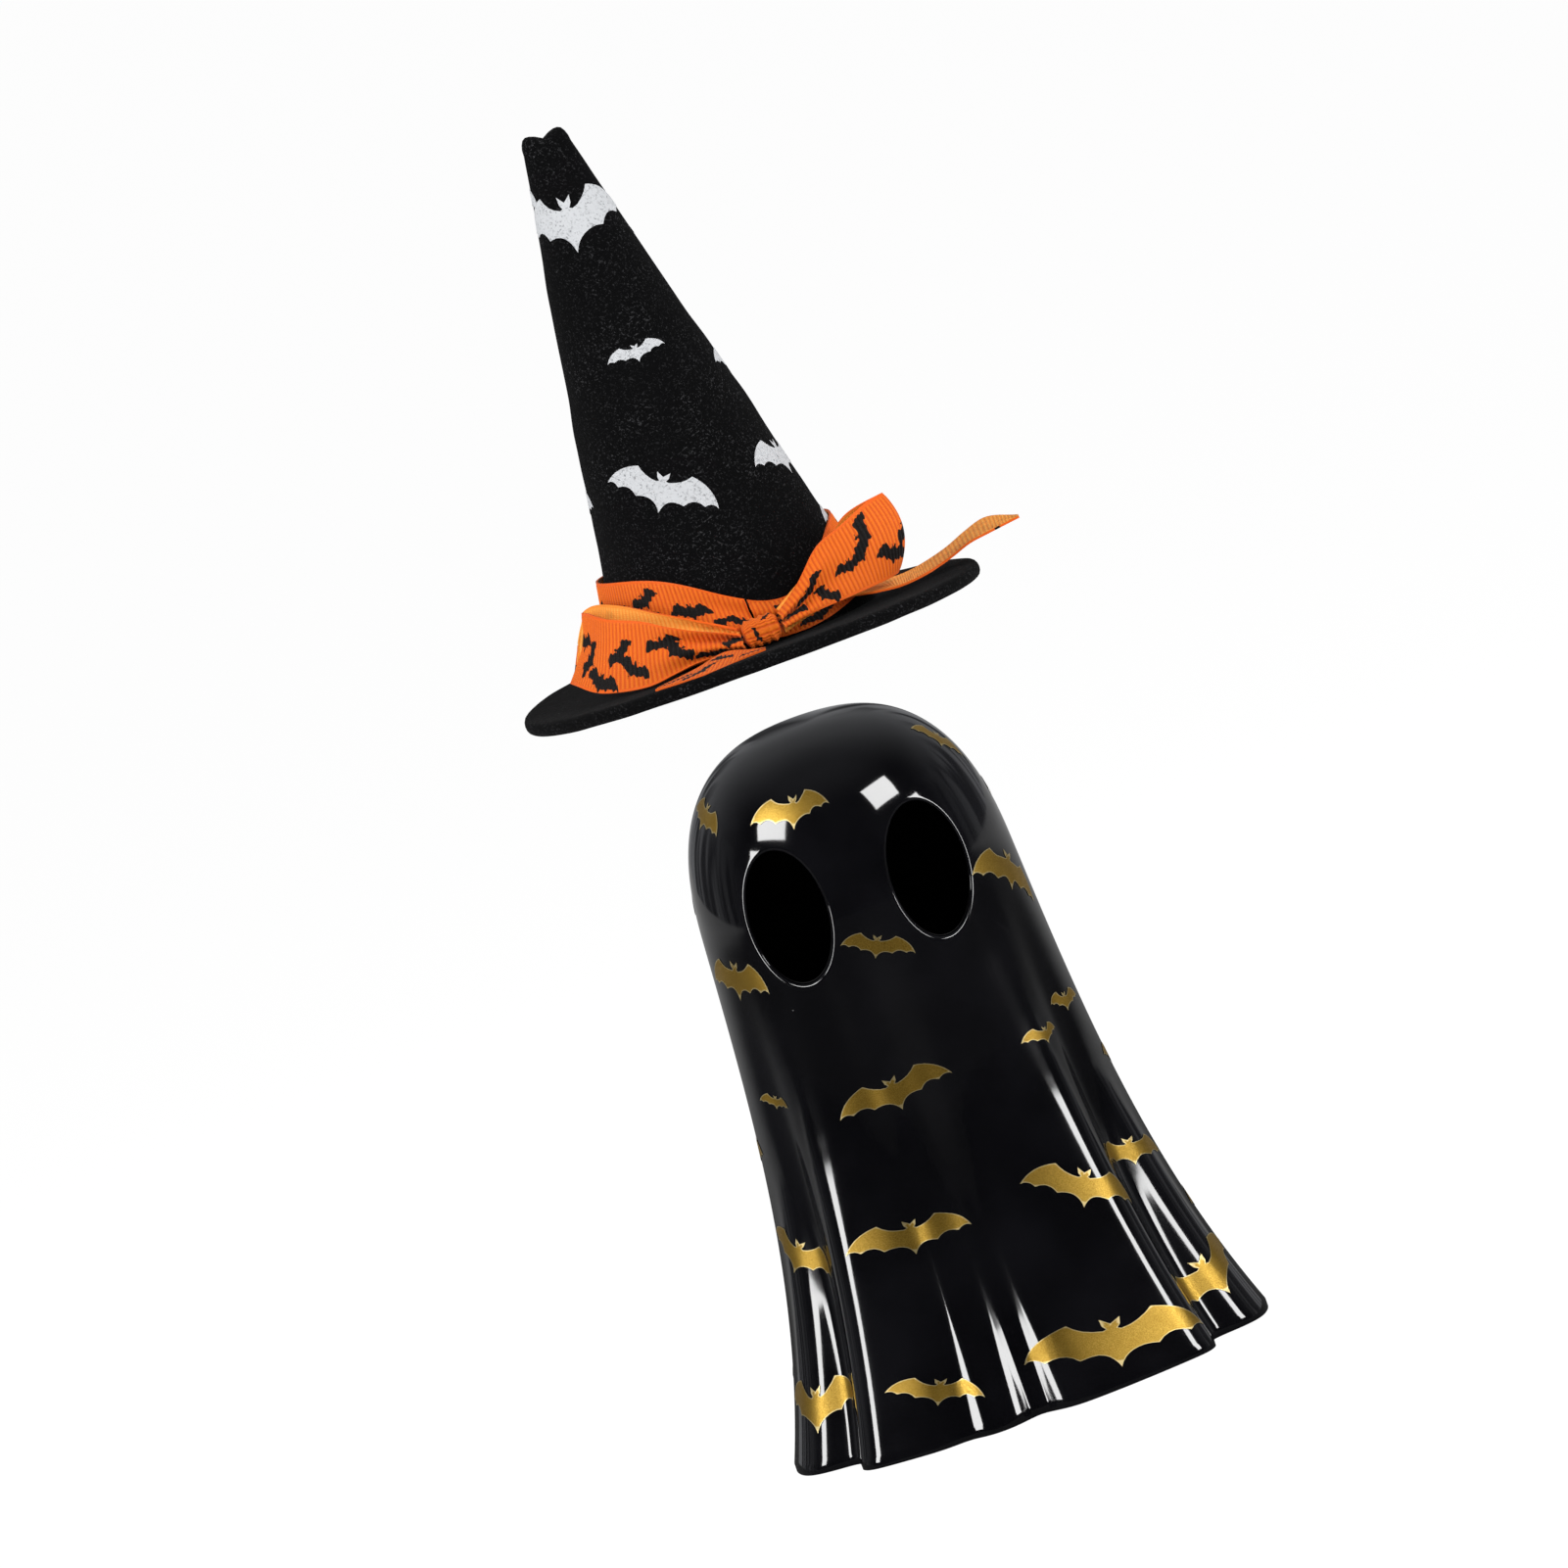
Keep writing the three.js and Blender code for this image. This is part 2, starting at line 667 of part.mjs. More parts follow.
// The leaf spring under the board that presses on the upper cell.
function topContact() {
  const low = cellTop + seatGap;
  const left = pocketOffset - cellRadius * 0.5;
  const profile = new THREE.Shape();
  profile.moveTo(left, shelfTop - stripThickness);
  profile.lineTo(left + 4, shelfTop - stripThickness);
  profile.quadraticCurveTo(left + 6, shelfTop - stripThickness, left + 8, low + 0.4);
  profile.quadraticCurveTo(left + 9.5, low - 0.2, left + 11.5, low + 0.8);
  profile.lineTo(left + 11.5, low + 0.8 + stripThickness);
  profile.quadraticCurveTo(left + 9.5, low + stripThickness, left + 8.2, low + 0.4 + stripThickness);
  profile.quadraticCurveTo(left + 6, shelfTop, left + 4, shelfTop);
  profile.lineTo(left, shelfTop);
  profile.closePath();
  return pressedStrip(profile);
}

function pressedStrip(profile) {
  return new THREE.ExtrudeGeometry(profile, { depth: stripWidth, bevelEnabled: false, curveSegments: 4 })
    .rotateX(Math.PI / 2)
    .translate(0, stripWidth / 2, 0);
}

function circuitBoard() {
  const notches = posts.map(({ x, y }) => (
    disc(postRadius + seatGap, boardBottom - 1, boardTop + 1, 14, x, y)
  ));
  return cut(disc(boardRadius, boardBottom, boardTop, 36), ...notches);
}

function resistor() {
  const length = 6;
  const thickness = 2.3;
  const wire = 0.5;
  const bottom = boardTop + seatGap;
  const body = new THREE.CapsuleGeometry(thickness / 2, length - thickness, 3, 10)
    .rotateZ(Math.PI / 2)
    .translate(0, 0, bottom + thickness / 2 + 0.4);
  const legs = [-1, 1].map((side) => (
    block(wire, wire, bottom, bottom + thickness / 2 + 0.6, side * (length / 2 + wire))
  ));
  const wireLevel = bottom + thickness / 2 + 0.4;
  const wires = block(length + 3 * wire, wire, wireLevel - wire / 2, wireLevel + wire / 2);
  return join(body, wires, ...legs).translate(resistorOffset, 0, 0);
}

function switchBody() {
  const top = switchBottom + switchHeight;
  const housing = block(switchWidth, switchLength, switchBottom, top, switchOffset);
  const slot = block(
    stemWidth + 2 * runGap,
    stemLength + switchTravel + 2 * runGap,
    switchBottom - 1,
    stemTop + runGap,
    switchOffset,
  );
  const pins = [-1, 0, 1].map((step) => (
    block(0.7, 0.5, top - 0.5, shelfTop, switchOffset, step * switchLength * 0.29)
  ));
  return cut(join(housing, ...pins), slot);
}

function switchSlider() {
  const knob = block(knobWidth, knobLength, knobTop - knobThickness, knobTop, switchOffset);
  const stem = block(stemWidth, stemLength, knobTop - 0.2, stemTop, switchOffset);
  const grooves = [-1, 0, 1].map((step) => (
    block(knobWidth + 1, 0.5, knobTop - knobThickness - 1, knobTop - knobThickness + 0.4,
      switchOffset, step * 1.2)
  ));
  return cut(join(knob, stem), ...grooves).translate(0, -switchTravel / 2, 0);
}

function housingLid() {
  const holes = posts.map(({ x, y }) => (
    disc(screwRadius + seatGap, lidBottom - 1, lidTop + 1, 12, x, y)
  ));
  const leadHole = disc(lampRadius, lidBottom - 1, lidTop + 1, 16);
  return cut(disc(moduleRadius, lidBottom, lidTop, 36), leadHole, ...holes);
}

function lidScrew({ x, y }) {
  const bottom = lidTop + seatGap;
  return revolve([
    [0, bottom - screwLength],
    [screwRadius * 0.5, bottom - screwLength],
    [screwRadius, bottom - screwLength + 1.2],
    [screwRadius, bottom],
    [screwHeadRadius, bottom],
    [screwHeadRadius, bottom + screwHeadHeight * 0.5],
    [screwHeadRadius * 0.6, bottom + screwHeadHeight],
    [0, bottom + screwHeadHeight],
  ], 12).translate(x, y, 0);
}

function lamp() {
  const domeBottom = lampBottom + lampHeight - lampRadius;
  return revolve([
    [0, lampBottom],
    [lampRadius + lampFlange, lampBottom],
    [lampRadius + lampFlange, lampBottom + lampFlangeThickness],
    [lampRadius, lampBottom + lampFlangeThickness],
    ...[0, 25, 50, 72].map((angle) => [
      lampRadius * Math.cos(rad(angle)),
      domeBottom + lampRadius * Math.sin(rad(angle)),
    ]),
    [0, lampBottom + lampHeight],
  ], 18);
}

function lampLead(side) {
  return disc(leadRadius, boardTop + seatGap, lampBottom - seatGap, 8, side * leadSpacing / 2);
}

// A frosted cap over the lamp, open below, that spreads the light through the hollow.
function diffuser() {
  const straight = lampBottom + diffuserHeight - diffuserRadius;
  const arc = (radius) => [0, 20, 40, 60, 78].map((angle) => [
    radius * Math.cos(rad(angle)),
    straight + radius * Math.sin(rad(angle)),
  ]);
  const inner = diffuserRadius - diffuserWall;
  return revolve([
    [0, straight + inner],
    ...arc(inner).reverse(),
    [inner, lampBottom],
    [diffuserRadius + diffuserWall, lampBottom],
    [diffuserRadius + diffuserWall, lampBottom + diffuserWall],
    [diffuserRadius, lampBottom + diffuserWall],
    ...arc(diffuserRadius),
    [0, straight + diffuserRadius],
  ], 24);
}

// The soft ring between the module and the hole in the floor, with ribs that grip the hole.
function moduleSeal() {
  const inner = moduleRadius + seatGap;
  const outer = baseHoleRadius - seatGap;
  const pitch = floorThickness / sealRibs;
  const ribs = Array.from({ length: sealRibs }, (unused, i) => footHeight + i * pitch);
  return revolve([
    [inner, footHeight],
    ...ribs.flatMap((bottom) => [
      [outer, bottom],
      [outer, bottom + pitch * 0.4],
      [outer - sealRibDepth, bottom + pitch * 0.6],
      [outer - sealRibDepth, bottom + pitch * 0.9],
    ]),
    [inner, footHeight + floorThickness],
    [inner, footHeight],
  ], 28);
}

// Assembly

function piece(name, geometry, material) {
  const mesh = new THREE.Mesh(tidy(geometry), material);
  mesh.name = name;
  return mesh;
}

const group = new THREE.Group();

group.add(piece('ghost_shell', ghostShell(), glaze));

const hat = new THREE.Group();
hat.position.set(-hatOffset, 0, seatHeight() + hatLift);
hat.add(piece('hat_brim', hatBrim(), felt));
hat.add(piece('hat_cone', hatCone(), felt));
hat.add(piece('ribbon_band', ribbonBand(), ribbon));
hat.add(piece('ribbon_knot', ribbonKnot(), ribbon));
hat.add(piece('ribbon_loop_left', ribbonStrip(leftLoop, loopSteps), ribbon));
hat.add(piece('ribbon_loop_right', ribbonStrip(rightLoop, loopSteps), ribbon));
hat.add(piece('ribbon_tail_left', ribbonStrip(leftTail, tailSteps), ribbon));
hat.add(piece('ribbon_tail_right', ribbonStrip(rightTail, tailSteps), ribbon));
group.add(hat);

const lightModule = new THREE.Group();
lightModule.add(piece('module_housing', moduleHousing(), darkPlastic));
lightModule.add(piece('module_seal', moduleSeal(), silicone));
lightModule.add(piece('module_lid', housingLid(), darkPlastic));
posts.forEach((post, i) => {
  lightModule.add(piece(`lid_screw_${i + 1}`, lidScrew(post), steel));
});
lightModule.add(piece('circuit_board', circuitBoard(), greenBoard));
lightModule.add(piece('resistor', resistor(), ceramicChip));
lightModule.add(piece('led_lamp', lamp(), lampResin));
lightModule.add(piece('led_lead_1', lampLead(-1), steel));
lightModule.add(piece('led_lead_2', lampLead(1), steel));
lightModule.add(piece('light_diffuser', diffuser(), frosted));
lightModule.add(piece('switch_body', switchBody(), steel));
lightModule.add(piece('switch_slider', switchSlider(), darkPlastic));
lightModule.add(piece('coin_cell_lower', coinCell(cellBottom), steel));
lightModule.add(piece('coin_cell_upper', coinCell(cellBottom + cellThickness + cellGap), steel));
lightModule.add(piece('contact_side', sideContact(), springMetal));
lightModule.add(piece('contact_top', topContact(), springMetal));
lightModule.add(piece('battery_door', batteryDoor(), darkPlastic));
lightModule.add(piece('door_seal', doorSeal(), silicone));
group.add(lightModule);

export default group;
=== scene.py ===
"""Looks of a glazed ceramic ghost with a light module in its base and a felt witch hat.

Lengths are millimetres and angles degrees, unless a docstring says otherwise. Blender gets metres.
Angles round an upright axis count from the front (-Y) towards the right (+X).
"""
import logging
import math
from bisect import bisect_left
from contextlib import contextmanager
from dataclasses import dataclass
from enum import Enum
from typing import Callable, Iterator, Sequence

import bmesh
import bpy
import numpy as np
from bpy.types import Material, Node, NodeSocket, NodeTree, Object
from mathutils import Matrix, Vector, noise


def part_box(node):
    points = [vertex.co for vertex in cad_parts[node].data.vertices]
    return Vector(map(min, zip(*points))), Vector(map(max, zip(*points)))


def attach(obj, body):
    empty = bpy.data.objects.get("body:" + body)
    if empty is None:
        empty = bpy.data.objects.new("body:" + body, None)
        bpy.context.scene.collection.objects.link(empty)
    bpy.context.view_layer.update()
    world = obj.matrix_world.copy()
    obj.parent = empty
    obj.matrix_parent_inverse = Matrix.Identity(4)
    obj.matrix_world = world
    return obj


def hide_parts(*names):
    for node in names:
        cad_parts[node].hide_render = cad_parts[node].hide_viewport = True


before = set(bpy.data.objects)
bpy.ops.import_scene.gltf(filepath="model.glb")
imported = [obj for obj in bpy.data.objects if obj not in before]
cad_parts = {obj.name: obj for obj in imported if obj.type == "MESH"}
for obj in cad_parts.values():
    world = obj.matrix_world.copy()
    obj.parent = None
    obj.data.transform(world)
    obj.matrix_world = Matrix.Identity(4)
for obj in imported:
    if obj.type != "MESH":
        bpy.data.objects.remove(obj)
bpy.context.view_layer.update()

MM = 0.001
log = logging.getLogger("ghost_figure")

Pair = tuple[float, float]
Triple = tuple[float, float, float]
Colour = Triple
Points2D = list[Pair]
Amount = float | NodeSocket


# Small sums

def facing(angle: float) -> Vector:
    """Gives the level unit vector that points away from the upright axis at an angle."""
    turn = math.radians(angle)
    return Vector((math.sin(turn), -math.cos(turn), 0.0))


def angle_of(point: Vector) -> float:
    """Gives the angle of a point round the upright axis."""
    return math.degrees(math.atan2(point.x, -point.y))


def smoothstep(low: float, high: float, value: float) -> float:
    """Rises smoothly from 0 at low to 1 at high."""
    share = min(max((value - low) / (high - low), 0.0), 1.0)
    return share * share * (3.0 - 2.0 * share)


def mix(start: float, end: float, share: float) -> float:
    """Goes from start to end with a share from 0 to 1."""
    return start + (end - start) * share


def bell(turn: float, reach: float) -> float:
    """Falls softly from 1 to 0 on both sides of a turn of 0."""
    return math.exp(-((turn / reach) ** 2))


def wrapped(angle: float) -> float:
    """Brings an angle between -180 and 180 degrees."""
    return (angle + 180.0) % 360.0 - 180.0


def turns(angle: float, steps: int) -> list[float]:
    """Cuts an angle into equal steps and gives them in radians, both ends among them."""
    return [math.radians(angle * step / steps) for step in range(steps + 1)]


def spaced(start: float, reach: float, count: int) -> list[float]:
    """Gives evenly spaced values from a start over a reach, without its end."""
    return [start + reach * step / count for step in range(count)]


def scatter(number: int, stride: float, start: float) -> float:
    """Gives a share below 1 that jumps about evenly from one number to the next."""
    return (number * stride + start) % 1.0


def lengths_along(points: Sequence[Vector]) -> list[float]:
    """Adds up the way from the first point to each of the points.

    Args:
        points: Points in order.

    Returns:
        One length a point, 0 for the first.
    """
    lengths = [0.0]
    for start, end in zip(points, points[1:]):
        lengths.append(lengths[-1] + (end - start).length)
    return lengths


def corners_in_mm(node: str) -> tuple[Vector, Vector]:
    """Gives the lowest and highest corner of a node of the frame."""
    low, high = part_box(node)
    return low / MM, high / MM


def bulge(start: Pair, end: Pair, rise: float, steps: int) -> Points2D:
    """Draws a shallow arc between two points.

    Args:
        start: Where the arc starts. It is among the points.
        end: Where the arc ends. It isn't among the points.
        rise: How far the middle of the arc stands to the left of the way from start to end.
        steps: Number of stretches.

    Returns:
        The points of the arc.
    """
    across = (end[0] - start[0], end[1] - start[1])
    length = math.hypot(*across)
    left = (-across[1] / length, across[0] / length)
    points = []
    for step in range(steps):
        share = step / steps
        lift = 4.0 * rise * share * (1.0 - share)
        points.append((start[0] + across[0] * share + left[0] * lift,
                       start[1] + across[1] * share + left[1] * lift))
    return points


def through(points: Sequence[Vector], share: float) -> Vector:
    """Follows a centripetal Catmull-Rom curve through points.

    Args:
        points: Two or more points that the curve passes through.
        share: Place along the curve, 0 at the first point and 1 at the last.

    Returns:
        The point of the curve.
    """
    last = len(points) - 1
    stretch = min(int(share * last), last - 1)
    weight = share * last - stretch
    p1, p2 = points[stretch], points[stretch + 1]
    p0 = points[stretch - 1] if stretch > 0 else 2.0 * p1 - p2
    p3 = points[stretch + 2] if stretch + 2 <= last else 2.0 * p2 - p1
    d0, d1, d2 = [max((b - a).length, 1e-6) ** 0.5 for a, b in ((p0, p1), (p1, p2), (p2, p3))]
    slope1 = ((p1 - p0) / d0 - (p2 - p0) / (d0 + d1) + (p2 - p1) / d1) * d1
    slope2 = ((p2 - p1) / d1 - (p3 - p1) / (d1 + d2) + (p3 - p2) / d2) * d1
    square = weight * weight
    cube = square * weight
    return ((2.0 * cube - 3.0 * square + 1.0) * p1 + (cube - 2.0 * square + weight) * slope1
            + (3.0 * square - 2.0 * cube) * p2 + (cube - square) * slope2)


def signed_distance(places: np.ndarray, outline: np.ndarray) -> np.ndarray:
    """Measures how far points lie from a closed outline.

    Args:
        places: Points, one row of x and y each.
        outline: Corners of the outline, one row of x and y each.

    Returns:
        One distance a point, below 0 inside the outline.
    """
    starts = outline
    ends = np.roll(outline, -1, axis=0)
    run = ends - starts
    away = places[:, None, :] - starts[None, :, :]
    share = np.clip((away * run).sum(-1) / (run * run).sum(-1), 0.0, 1.0)
    nearest = away - share[:, :, None] * run
    distance = np.sqrt((nearest * nearest).sum(-1)).min(axis=1)
    x, y = places[:, 0:1], places[:, 1:2]
    crosses = (starts[:, 1] > y) != (ends[:, 1] > y)
    rise = np.where(run[:, 1] == 0.0, 1e-9, run[:, 1])
    left_of = x < starts[:, 0] + (y - starts[:, 1]) * run[:, 0] / rise
    inside = (crosses & left_of).sum(axis=1) % 2 == 1
    return np.where(inside, -distance, distance)


# Bench work

def put_down() -> None:
    """Leaves edit mode and selects nothing."""
    if bpy.context.mode != "OBJECT":
        bpy.ops.object.mode_set(mode="OBJECT")
    bpy.ops.object.select_all(action="DESELECT")


def take_up(piece: Object) -> None:
    """Selects one piece alone and makes it the active one."""
    put_down()
    piece.select_set(True)
    bpy.context.view_layer.objects.active = piece


@contextmanager
def editing(piece: Object) -> Iterator[None]:
    """Keeps one piece in edit mode while the block runs."""
    take_up(piece)
    bpy.ops.object.mode_set(mode="EDIT")
    yield
    bpy.ops.object.mode_set(mode="OBJECT")


def face_outwards() -> None:
    """Turns every face of the piece in edit mode outwards."""
    bpy.ops.mesh.select_all(action="SELECT")
    bpy.ops.mesh.normals_make_consistent(inside=False)


def mark_faces(piece: Object, test: Callable[[Vector, Vector], bool]) -> None:
    """Selects faces in edit mode by their place.

    Args:
        piece: The piece in edit mode.
        test: Says from a face's middle and normal whether it is selected.
    """
    bpy.ops.mesh.select_mode(type="FACE")
    bpy.ops.mesh.select_all(action="DESELECT")
    mesh = bmesh.from_edit_mesh(piece.data)
    for face in mesh.faces:
        face.select = test(face.calc_center_median() / MM, face.normal)
    bmesh.update_edit_mesh(piece.data)


def mark_open_edges(piece: Object, test: Callable[[Vector], bool]) -> None:
    """Selects edges with one face in edit mode.

    Args:
        piece: The piece in edit mode.
        test: Says from an edge's middle whether it is selected.
    """
    bpy.ops.mesh.select_mode(type="EDGE")
    bpy.ops.mesh.select_all(action="DESELECT")
    mesh = bmesh.from_edit_mesh(piece.data)
    for edge in mesh.edges:
        middle = (edge.verts[0].co + edge.verts[1].co) / (2.0 * MM)
        edge.select = edge.is_boundary and test(middle)
    mesh.select_flush_mode()
    bmesh.update_edit_mesh(piece.data)


def move_marked(piece: Object, rule: Callable[[Vector], Vector]) -> None:
    """Moves the selected vertices in edit mode by a rule that takes and gives a place.

    Args:
        piece: The piece in edit mode.
        rule: Takes and gives a place.
    """
    mesh = bmesh.from_edit_mesh(piece.data)
    for vertex in mesh.verts:
        if vertex.select:
            vertex.co = rule(vertex.co / MM) * MM
    bmesh.update_edit_mesh(piece.data)


def reshape(piece: Object, rule: Callable[[Vector], Vector]) -> None:
    """Moves every vertex of a finished mesh by a rule that takes and gives a place."""
    for vertex in piece.data.vertices:
        vertex.co = rule(vertex.co / MM) * MM
    piece.data.update()


def lathe(name: str, profile: Points2D, steps: int) -> Object:
    """Draws a profile point by point and spins it round the upright axis.

    Args:
        name: Name of the new piece.
        profile: Radius and height of each point. It starts and ends on the axis or where it began.
        steps: Number of stretches round the axis.

    Returns:
        The new piece, closed and facing outwards.
    """
    put_down()
    (radius, height), *others = profile
    bpy.ops.mesh.primitive_plane_add(size=MM, location=(radius * MM, 0.0, height * MM))
    piece = bpy.context.object
    piece.name = name
    bpy.ops.object.transform_apply(location=True, rotation=True, scale=True)
    with editing(piece):
        bpy.ops.mesh.select_mode(type="VERT")
        bpy.ops.mesh.select_all(action="SELECT")
        bpy.ops.mesh.merge(type="CENTER")
        for next_radius, next_height in others:
            step = ((next_radius - radius) * MM, 0.0, (next_height - height) * MM)
            bpy.ops.mesh.extrude_vertices_move(TRANSFORM_OT_translate={"value": step})
            radius, height = next_radius, next_height
        bpy.ops.mesh.select_all(action="SELECT")
        bpy.ops.mesh.spin(steps=steps, angle=2.0 * math.pi, center=(0.0, 0.0, 0.0), axis=(0.0, 0.0, 1.0))
        bpy.ops.mesh.select_all(action="SELECT")
        bpy.ops.mesh.remove_doubles(threshold=0.002 * MM)
        face_outwards()
    return piece


def apply_modifier(piece: Object, kind: str, **settings: object) -> None:
    """Adds a modifier with its settings and applies it at once.

    Args:
        piece: The piece.
        kind: Type of the modifier.
        settings: Its own properties.
    """
    take_up(piece)
    modifier = piece.modifiers.new(kind.title(), kind)
    for setting, value in settings.items():
        setattr(modifier, setting, value)
    bpy.ops.object.modifier_apply(modifier=modifier.name)


def smooth(piece: Object, sharp_angle: float = 180.0) -> None:
    """Shades a piece smooth, but for edges that turn by more than an angle.

    Args:
        piece: The piece.
        sharp_angle: Edges that turn by more stay sharp.
    """
    take_up(piece)
    if sharp_angle >= 180.0:
        bpy.ops.object.shade_smooth()
    else:
        bpy.ops.object.shade_smooth_by_angle(angle=math.radians(sharp_angle))


def note(piece: Object, name: str, values: Sequence[float]) -> None:
    """Writes one value a point into an attribute of the mesh."""
    attribute = piece.data.attributes.new(name, "FLOAT", "POINT")
    attribute.data.foreach_set("value", np.array(values, np.float32))


def hand_over(piece: Object, body: str, nodes: Sequence[str] = (),
              mirrored: bool = True) -> None:
    """Lets a finished piece ride on its body and stand for its nodes.

    Args:
        piece: The finished piece, at the origin.
        body: The body of the frame that it rides on.
        nodes: The nodes of the frame that it stands for.
        mirrored: Whether the glaze shows its reflection.
    """
    put_down()
    piece.visible_glossy = mirrored
    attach(piece, body)
    if nodes:
        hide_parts(*nodes)
    log.info("%s: %d faces on %s", piece.name, len(piece.data.polygons), body)


# Finishes

def ink(red: int, green: int, blue: int) -> Colour:
    """Turns a screen colour from 0 to 255 into the linear light that a shader takes.

    Args:
        red, green, blue: The screen colour.

    Returns:
        The linear colour.
    """
    def linear(value: int) -> float:
        """Turns one channel."""
        share = value / 255.0
        return share / 12.92 if share <= 0.04045 else ((share + 0.055) / 1.055) ** 2.4
    return linear(red), linear(green), linear(blue)


def darker(colour: Colour, share: float) -> Colour:
    """Gives a colour that keeps this share of its light."""
    return tuple(channel * share for channel in colour)


@dataclass(frozen=True)
class Relief:
    """A bump: the real depth of a height of 1, and the share of it that is kept."""

    depth: float
    strength: float


class Graph:
    """Adds nodes to the tree of a material or a group and links them."""

    def __init__(self, tree: NodeTree) -> None:
        """Takes the tree that the nodes go into."""
        self.tree = tree

    def feed(self, node: Node, inputs: dict) -> None:
        """Gives a node its inputs.

        Args:
            node: The node.
            inputs: A socket to link or a value to set, by the input's name or number.
        """
        for place, value in inputs.items():
            if isinstance(value, NodeSocket):
                self.tree.links.new(value, node.inputs[place])
            elif isinstance(value, tuple) and len(value) == 3 and node.inputs[place].type == "RGBA":
                node.inputs[place].default_value = (*value, 1.0)
            else:
                node.inputs[place].default_value = value

    def node(self, kind: str, inputs: dict | None = None, **settings: object) -> Node:
        """Adds one node.

        Args:
            kind: The node's type, without its first words ShaderNode.
            inputs: A socket to link or a value to set, by the input's name or number.
            settings: Values of the node's own properties.

        Returns:
            The new node.
        """
        made = self.tree.nodes.new("ShaderNode" + kind)
        for setting, value in settings.items():
            setattr(made, setting, value)
        self.feed(made, inputs or {})
        return made

    def object_place(self) -> NodeSocket:
        """Gives the coordinates of the surface in the piece's own space, in metres."""
        return self.node("TexCoord").outputs["Object"]

    def on_points(self, name: str) -> NodeSocket:
        """Gives a value that the mesh holds on its points."""
        return self.node("Attribute", attribute_name=name).outputs["Fac"]

    def stretch(self, vector: NodeSocket, scale: Triple,
                turn: Triple = (0.0, 0.0, 0.0)) -> NodeSocket:
        """Scales and turns coordinates, the turn in radians."""
        return self.node("Mapping", {"Vector": vector, "Rotation": turn, "Scale": scale}).outputs[0]

    def sum(self, operation: str, *values: Amount) -> NodeSocket:
        """Does one sum with up to three values."""
        return self.node("Math", dict(enumerate(values)), operation=operation).outputs[0]

    def times(self, first: Amount, second: Amount) -> NodeSocket:
        """Multiplies two values."""
        return self.sum("MULTIPLY", first, second)

    def ramp(self, value: Amount, low: Amount, high: Amount, bottom: float = 0.0,
             top: float = 1.0) -> NodeSocket:
        """Goes smoothly from bottom to top while the value goes from low to high."""
        inputs = {"Value": value, "From Min": low, "From Max": high, "To Min": bottom, "To Max": top}
        return self.node("MapRange", inputs, interpolation_type="SMOOTHSTEP").outputs[0]

    def spread(self, mask: Amount, bottom: float, top: float) -> NodeSocket:
        """Goes smoothly from bottom to top with a mask from 0 to 1."""
        return self.ramp(mask, 0.0, 1.0, bottom, top)

    def blend(self, share: Amount, first: object, second: object) -> NodeSocket:
        """Blends two colours."""
        inputs = {0: share, 6: first, 7: second}
        return self.node("Mix", inputs, data_type="RGBA").outputs[2]

    def noise(self, vector: NodeSocket, scale: Amount, detail: float) -> NodeSocket:
        """Gives soft noise from 0 to 1."""
        inputs = {"Vector": vector, "Scale": scale, "Detail": detail}
        return self.node("TexNoise", inputs).outputs[0]

    def bump(self, height: NodeSocket, relief: Relief,
             under: NodeSocket | None = None) -> NodeSocket:
        """Makes a normal from a height.

        Args:
            height: Height from 0 to 1.
            relief: Depth of the bump and its strength.
            under: A normal that this one is laid over.

        Returns:
            The normal.
        """
        inputs: dict = {"Height": height, "Distance": relief.depth * MM, "Strength": relief.strength}
        if under is not None:
            inputs["Normal"] = under
        return self.node("Bump", inputs).outputs[0]


def new_material(name: str) -> tuple[Material, Graph, Node]:
    """Makes a material and gives it with its graph and its Principled shader."""
    material = bpy.data.materials.new(name)
    material.use_nodes = True
    return material, Graph(material.node_tree), material.node_tree.nodes["Principled BSDF"]


@dataclass(frozen=True)
class Socket:
    """One input or output of a shared group."""

    name: str
    kind: str = "NodeSocketFloat"
    is_output: bool = False


MASK_SOCKETS = (Socket("Scale"), Socket("Low"), Socket("High"), Socket("Mask", is_output=True))


def shared_group(name: str, sockets: Sequence[Socket],
                 fill: Callable[[Graph, Node, Node], None]) -> NodeTree:
    """Builds a shader group once and gives it again when it is asked for later.

    Args:
        name: Name of the group.
        sockets: Its inputs and outputs.
        fill: Puts the nodes between the group's input and output.

    Returns:
        The group.
    """
    if name in bpy.data.node_groups:
        return bpy.data.node_groups[name]
    group = bpy.data.node_groups.new(name, "ShaderNodeTree")
    for socket in sockets:
        way = "OUTPUT" if socket.is_output else "INPUT"
        group.interface.new_socket(socket.name, in_out=way, socket_type=socket.kind)
    fill(Graph(group), group.nodes.new("NodeGroupInput"), group.nodes.new("NodeGroupOutput"))
    return group


def grain_group() -> NodeTree:
    """Gives the group for specks and clouds: noise of one scale between two levels."""
    def fill(graph: Graph, entry: Node, exit_: Node) -> None:
        """Puts the nodes in."""
        given = entry.outputs
        soft = graph.noise(graph.object_place(), given["Scale"], 4.0)
        graph.feed(exit_, {"Mask": graph.ramp(soft, given["Low"], given["High"])})
    return shared_group("grain", MASK_SOCKETS, fill)


